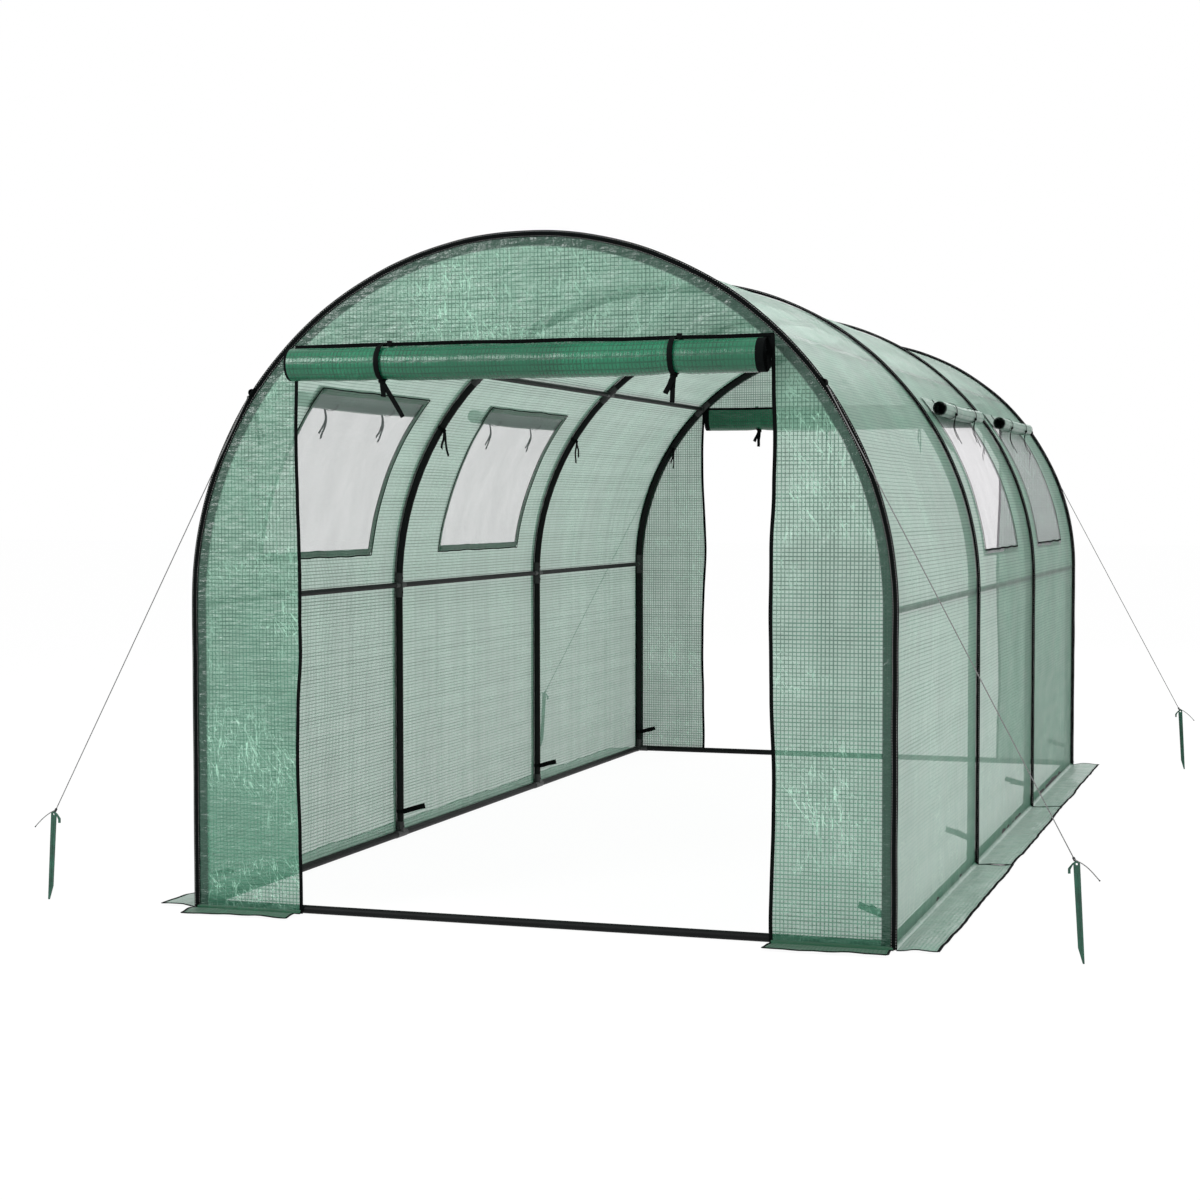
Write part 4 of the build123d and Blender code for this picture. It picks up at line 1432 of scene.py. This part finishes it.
class POLYTUNNEL_OT_ground_cloth(TunnelOperator, bpy.types.Operator):
    """Adds the skirts along the walls and the flaps at the ends, lying on the ground"""

    bl_idname = "polytunnel.ground_cloth"
    bl_label = "Ground cloth"
    skirt_width, flap_width, skirt_gap = 0.125, 0.10, 0.003

    def make(self, looks):
        skins = finishes(looks, "skirt_film", "edging")
        flap_skins = finishes(looks, "flap_film", "edging")
        last = len(HOOP_YS) - 2
        for word, side in SIDES:
            for bay in range(last + 1):
                start, end = bay_span(bay)
                start += self.skirt_gap if bay else 0.0
                end -= self.skirt_gap if bay < last else 0.0
                self.make_strip(
                    f"skirt_{word}_{bay + 1}", f"skirt_{word}", (start, end), self.skirt_width,
                    skins, lambda t, out: Vector((side * (COVER_RADIUS + out), t, 0)),
                    Vector((side, 0, 0)), f"cover_sheet_{bay + 1}", side * 2.0 + bay, side < 0,
                )
        for word, end in ENDS:
            for side_word, side in SIDES:
                name = f"{word}_{side_word}"
                self.make_strip(
                    f"flap_{name}", f"flap_{word}", sorted((side * JAMB_X, side * COVER_OUTER)),
                    self.flap_width, flap_skins,
                    lambda t, out: Vector((t, end * (END_MIDDLE + out), 0)),
                    Vector((0, end, 0)), f"end_panel_{name}_sheet", 9.0 + end + 3 * side, end > 0,
                )

    def make_strip(self, name, node, span, width, skins, spot, outward, wall, seed, flip):
        """A strip that turns off the wall's foot and lies on the ground in low waves."""
        start, end = span
        long_way = (spot(end, 0) - spot(start, 0)).normalized()

        def place(t, out):
            share = out / width
            wave = 0.5 + 0.5 * ripple(t * 4.2, share * 1.2, 140.0 + seed)
            wave += 0.3 * ripple(t * 13.0, share * 2.0, 143.0 + seed)
            stray = 0.006 * ripple(t * 3.0, 0.5, 146.0 + seed) * share
            slide = 0.006 * ripple(t * 2.0, share * 3.0, 149.0 + seed) * share
            point = spot(t, 0.0015 + out + stray)
            point.z = 0.0018 + 0.013 * max(0.0, wave) * min(1.0, share * 2.5)
            point.z += 0.010 * max(0.0, 1.0 - out / 0.010) ** 2
            return tuple(point + long_way * slide)

        outs = [0.0, 0.002, 0.005, 0.009, 0.014] + steps(0.02, width, 0.0105)
        along = steps(start, end, ROW_STEP)
        strip = Cutting()
        strip.grid(along, outs, place, flip=flip)
        strip.strap([place(t, width) for t in along], outward, 0.009, 0.002, slot=1)
        for t in (start, end):
            strip.strap([place(t, out) for out in outs[3:]], long_way, 0.007, 0.002, slot=1)
        piece = make_piece(f"{name}_sheet", strip, skins, [node])
        end - start


class POLYTUNNEL_OT_guy_lines(TunnelOperator, bpy.types.Operator):
    """Adds the tabs, the taut guy lines with their knots and tails, and the pegs"""

    bl_idname = "polytunnel.guy_lines"
    bl_label = "Guy lines"
    # Half of a tab's loop, from its sewn end: distance in from the end, and height
    tab_rise = ((0.0, 0.001), (0.004, 0.0012), (0.007, 0.004), (0.009, 0.008))
    tab_shoulder = 0.013
    pad_inset, pad_height, pad_thickness, pad_margin = 0.007, 0.0035, 0.006, 0.004
    knot_radius, knot_scale = 0.0041, (0.55, 0.9, 1.0, 0.86, 1.0, 0.86, 1.0, 0.9, 0.55)
    tail_length, tail_slope = 0.085, math.radians(38)
    # The peg's blade leans to a slanting point, and a hook stands off its head
    lean, point, tip = 0.014, 0.042, 0.004
    hook_top, hook_out, knee = PEG_HEIGHT - 0.003, -PEG_HEAD - 0.014, PEG_HEIGHT - 0.023
    hook_depth, hook_width = 0.0115, 0.006
    eye_radius = 0.0035
    blade_depth, blade_bevel = 0.0021, 0.0004
    rib_top, rib_foot, rib_out, rib_radius = PEG_HEAD_Z - 0.020, 0.03, 0.0024, 0.0016

    def make(self, looks):
        tabs, lines, pegs = Cutting(), Cutting(), Cutting()
        for _, side in SIDES:
            for _, end in ENDS:
                self.add_tab(tabs, side, end)
                self.add_line(lines, side, end)
                self.add_peg(pegs, side, end)
        webbing = finishes(looks, "webbing")
        make_piece("guy_tab_loops", tabs, webbing, ["guy_tabs"], 50)
        cords = finishes(looks, "guy_cord", "knot")
        make_piece("guy_line_cords", lines, cords, ["guy_lines"])
        plastic = finishes(looks, "peg_plastic")
        peg = make_piece("tunnel_pegs", pegs, plastic, ["pegs"], 35)
        bevel = peg.modifiers.new("edges", "BEVEL")
        bevel.width = 0.0007
        bevel.segments = 2
        bevel.limit_method = "ANGLE"

    def add_tab(self, tabs, side, end):
        """A folded loop of webbing that stands on the end hoop's tape."""
        outward, along = arch_ways(TAB_ANGLE, side)
        seat = arch_place(TAB_SEAT, TAB_ANGLE, end * TAB_Y, side)
        half = TAB_LENGTH / 2
        loop = [(a - half, b) for a, b in self.tab_rise]
        loop += [(self.tab_shoulder - half, TAB_HEIGHT - 0.001), (0.0, TAB_HEIGHT)]
        loop += [(-a, b) for a, b in reversed(loop[:-1])]
        path = [seat + along * a + outward * b for a, b in loop]
        tabs.strap(path, (0, 1, 0), TAB_WIDTH, 0.002)
        inside = half - self.pad_inset
        marks = steps(-inside, inside, 0.004)
        pad = [seat + along * a + outward * self.pad_height for a in marks]
        tabs.strap(pad, (0, 1, 0), TAB_WIDTH - self.pad_margin, self.pad_thickness)

    def line_ends(self):
        """The line's top, the middle of its knot and its way up, at the front right corner."""
        top_angle = TAB_ANGLE - (TAB_LENGTH / 2 + 0.0006) / TAB_SEAT
        top = arch_place(TAB_SEAT + TAB_HEIGHT / 2, top_angle, 0)
        head = Vector((PEG_X, 0, PEG_HEAD_Z))
        rise = (top - head).normalized()
        knot = head + rise * (PEG_HEAD + 0.0003 + KNOT_LENGTH / 2)
        return top, knot, rise

    def add_line(self, lines, side, end):
        top, knot, rise = self.line_ends()

        def corner(point):
            return Vector((side * point.x, end * (LINE_Y - point.y), point.z))

        lines.tube([corner(top.lerp(knot, t)) for t in steps(0, 1, 0.05)], LINE_RADIUS, 10)
        loop = ring(top, Vector((0.002, 0, -0.002)), Vector((0, 0.005, 0)), 1, 0.4)
        lines.tube([corner(spot) for spot in loop], LINE_RADIUS, 8, closed=True)
        path = [corner(knot + rise * (KNOT_LENGTH * (0.5 - t))) for t in steps(0, 1, 0.125)]
        lines.tube(path, self.knot_radius, 14, slot=1, scale=self.knot_scale)
        start = knot - Vector((0, 0.0043, 0))
        way = Vector((math.cos(self.tail_slope), 0, -math.sin(self.tail_slope)))
        tail = []
        for t in steps(0, 1, 0.08):
            curl = Vector((0, 0.004 * math.sin(5 * t) * t, 0.007 * math.sin(math.pi * t)))
            tail.append(corner(start + way * (self.tail_length * t) + curl))
        lines.tube(tail, LINE_RADIUS, 10)
        tip = tail[-1]
        lines.tube([tip, tip + (tip - tail[-2]).normalized() * 0.003], 0.0022, 8, slot=1)

    def peg_outline(self):
        """The blade seen from the end of the tunnel: across the peg, and height."""
        head, lean, hook, knee = PEG_HEAD, self.lean, self.hook_out, self.knee
        outline = [(-head, PEG_HEAD_Z - 0.003), (lean - head, self.point)]
        outline += [(head + lean - self.tip, 0.0), (head + lean, 0.0), (head, PEG_HEAD_Z)]
        turns = steps(0.3, 2.2, 0.24)
        outline += [(head * math.cos(t), PEG_HEAD_Z + head * math.sin(t)) for t in turns]
        outline += [(-0.0075, self.hook_top - 0.0015), (-head - 0.003, self.hook_top - 0.004)]
        outline += [(hook + 0.003, knee + 0.006), (hook, knee + 0.002)]
        outline += [(hook, knee - self.hook_depth)]
        outline += [(hook + self.hook_width, knee - self.hook_depth)]
        outline += [(hook + self.hook_width, knee - 0.001), (-head - 0.001, PEG_HEAD_Z - 0.001)]
        return outline

    def add_peg(self, pegs, side, end):
        """A flat blade with a raised rib, an eye in its head, a hook and a slanting point."""
        radius = self.eye_radius
        turns = steps(0, FULL_TURN, 0.45)[:-1]
        eye = [(radius * math.cos(t), PEG_HEAD_Z + radius * math.sin(t)) for t in turns]
        curve = bpy.data.curves.new("peg_outline", "CURVE")
        curve.dimensions = "2D"
        curve.fill_mode = "BOTH"
        curve.extrude = self.blade_depth
        curve.bevel_depth = self.blade_bevel
        for edge in (self.peg_outline(), eye):
            spline = curve.splines.new("POLY")
            spline.points.add(len(edge) - 1)
            for spot, (u, w) in zip(spline.points, edge):
                spot.co = (u, w, 0, 1)
            spline.use_cyclic_u = True
        shape = bpy.data.objects.new("peg_outline", curve)
        mesh = bpy.data.meshes.new_from_object(shape)

        def corner(u, w, off):
            return (side * (PEG_X + u), end * LINE_Y + off, w)

        points = [corner(v.co.x, v.co.y, v.co.z) for v in mesh.vertices]
        faces = [tuple(p.vertices) if side < 0 else tuple(p.vertices)[::-1] for p in mesh.polygons]
        pegs.add(points, faces)
        bpy.data.meshes.remove(mesh)
        bpy.data.objects.remove(shape)
        bpy.data.curves.remove(curve)
        for off in (-self.rib_out, self.rib_out):
            rib = []
            for w in steps(self.rib_top, self.rib_foot, (self.rib_top - self.rib_foot) / 10):
                fall = (PEG_HEAD_Z - w) / (PEG_HEAD_Z - self.point)
                rib.append(corner(self.lean * fall * 0.93, w, off))
            scale = [0.3] + [1.0] * (len(rib) - 2) + [0.3]
            pegs.tube(rib, self.rib_radius, 10, scale=scale)


PIECES = (
    POLYTUNNEL_OT_stage,
    POLYTUNNEL_OT_frame_tubes,
    POLYTUNNEL_OT_fittings,
    POLYTUNNEL_OT_cover,
    POLYTUNNEL_OT_end_walls,
    POLYTUNNEL_OT_windows,
    POLYTUNNEL_OT_doors,
    POLYTUNNEL_OT_hoop_bindings,
    POLYTUNNEL_OT_hoop_ties,
    POLYTUNNEL_OT_ground_cloth,
    POLYTUNNEL_OT_guy_lines,
)


class POLYTUNNEL_PT_panel(bpy.types.Panel):
    """Lists the pieces and the finishes in the sidebar"""

    bl_idname = "POLYTUNNEL_PT_panel"
    bl_label = "Polytunnel greenhouse"
    bl_space_type = "VIEW_3D"
    bl_region_type = "UI"
    bl_category = "Polytunnel"

    def draw(self, context):
        looks = context.scene.tunnel_looks
        for name in TunnelLooks.__annotations__:
            self.layout.prop(looks, name)
        for piece in PIECES:
            self.layout.operator(piece.bl_idname)


CLASSES = (TunnelLooks, *PIECES, POLYTUNNEL_PT_panel)


def register():
    for kind in CLASSES:
        bpy.utils.register_class(kind)
    bpy.types.Scene.tunnel_looks = PointerProperty(type=TunnelLooks)


def unregister():
    del bpy.types.Scene.tunnel_looks
    for kind in reversed(CLASSES):
        bpy.utils.unregister_class(kind)


def main():
    register()
    for piece in PIECES:
        getattr(bpy.ops.polytunnel, piece.bl_idname.split(".")[1])()


if __name__ == "__main__":
    main()
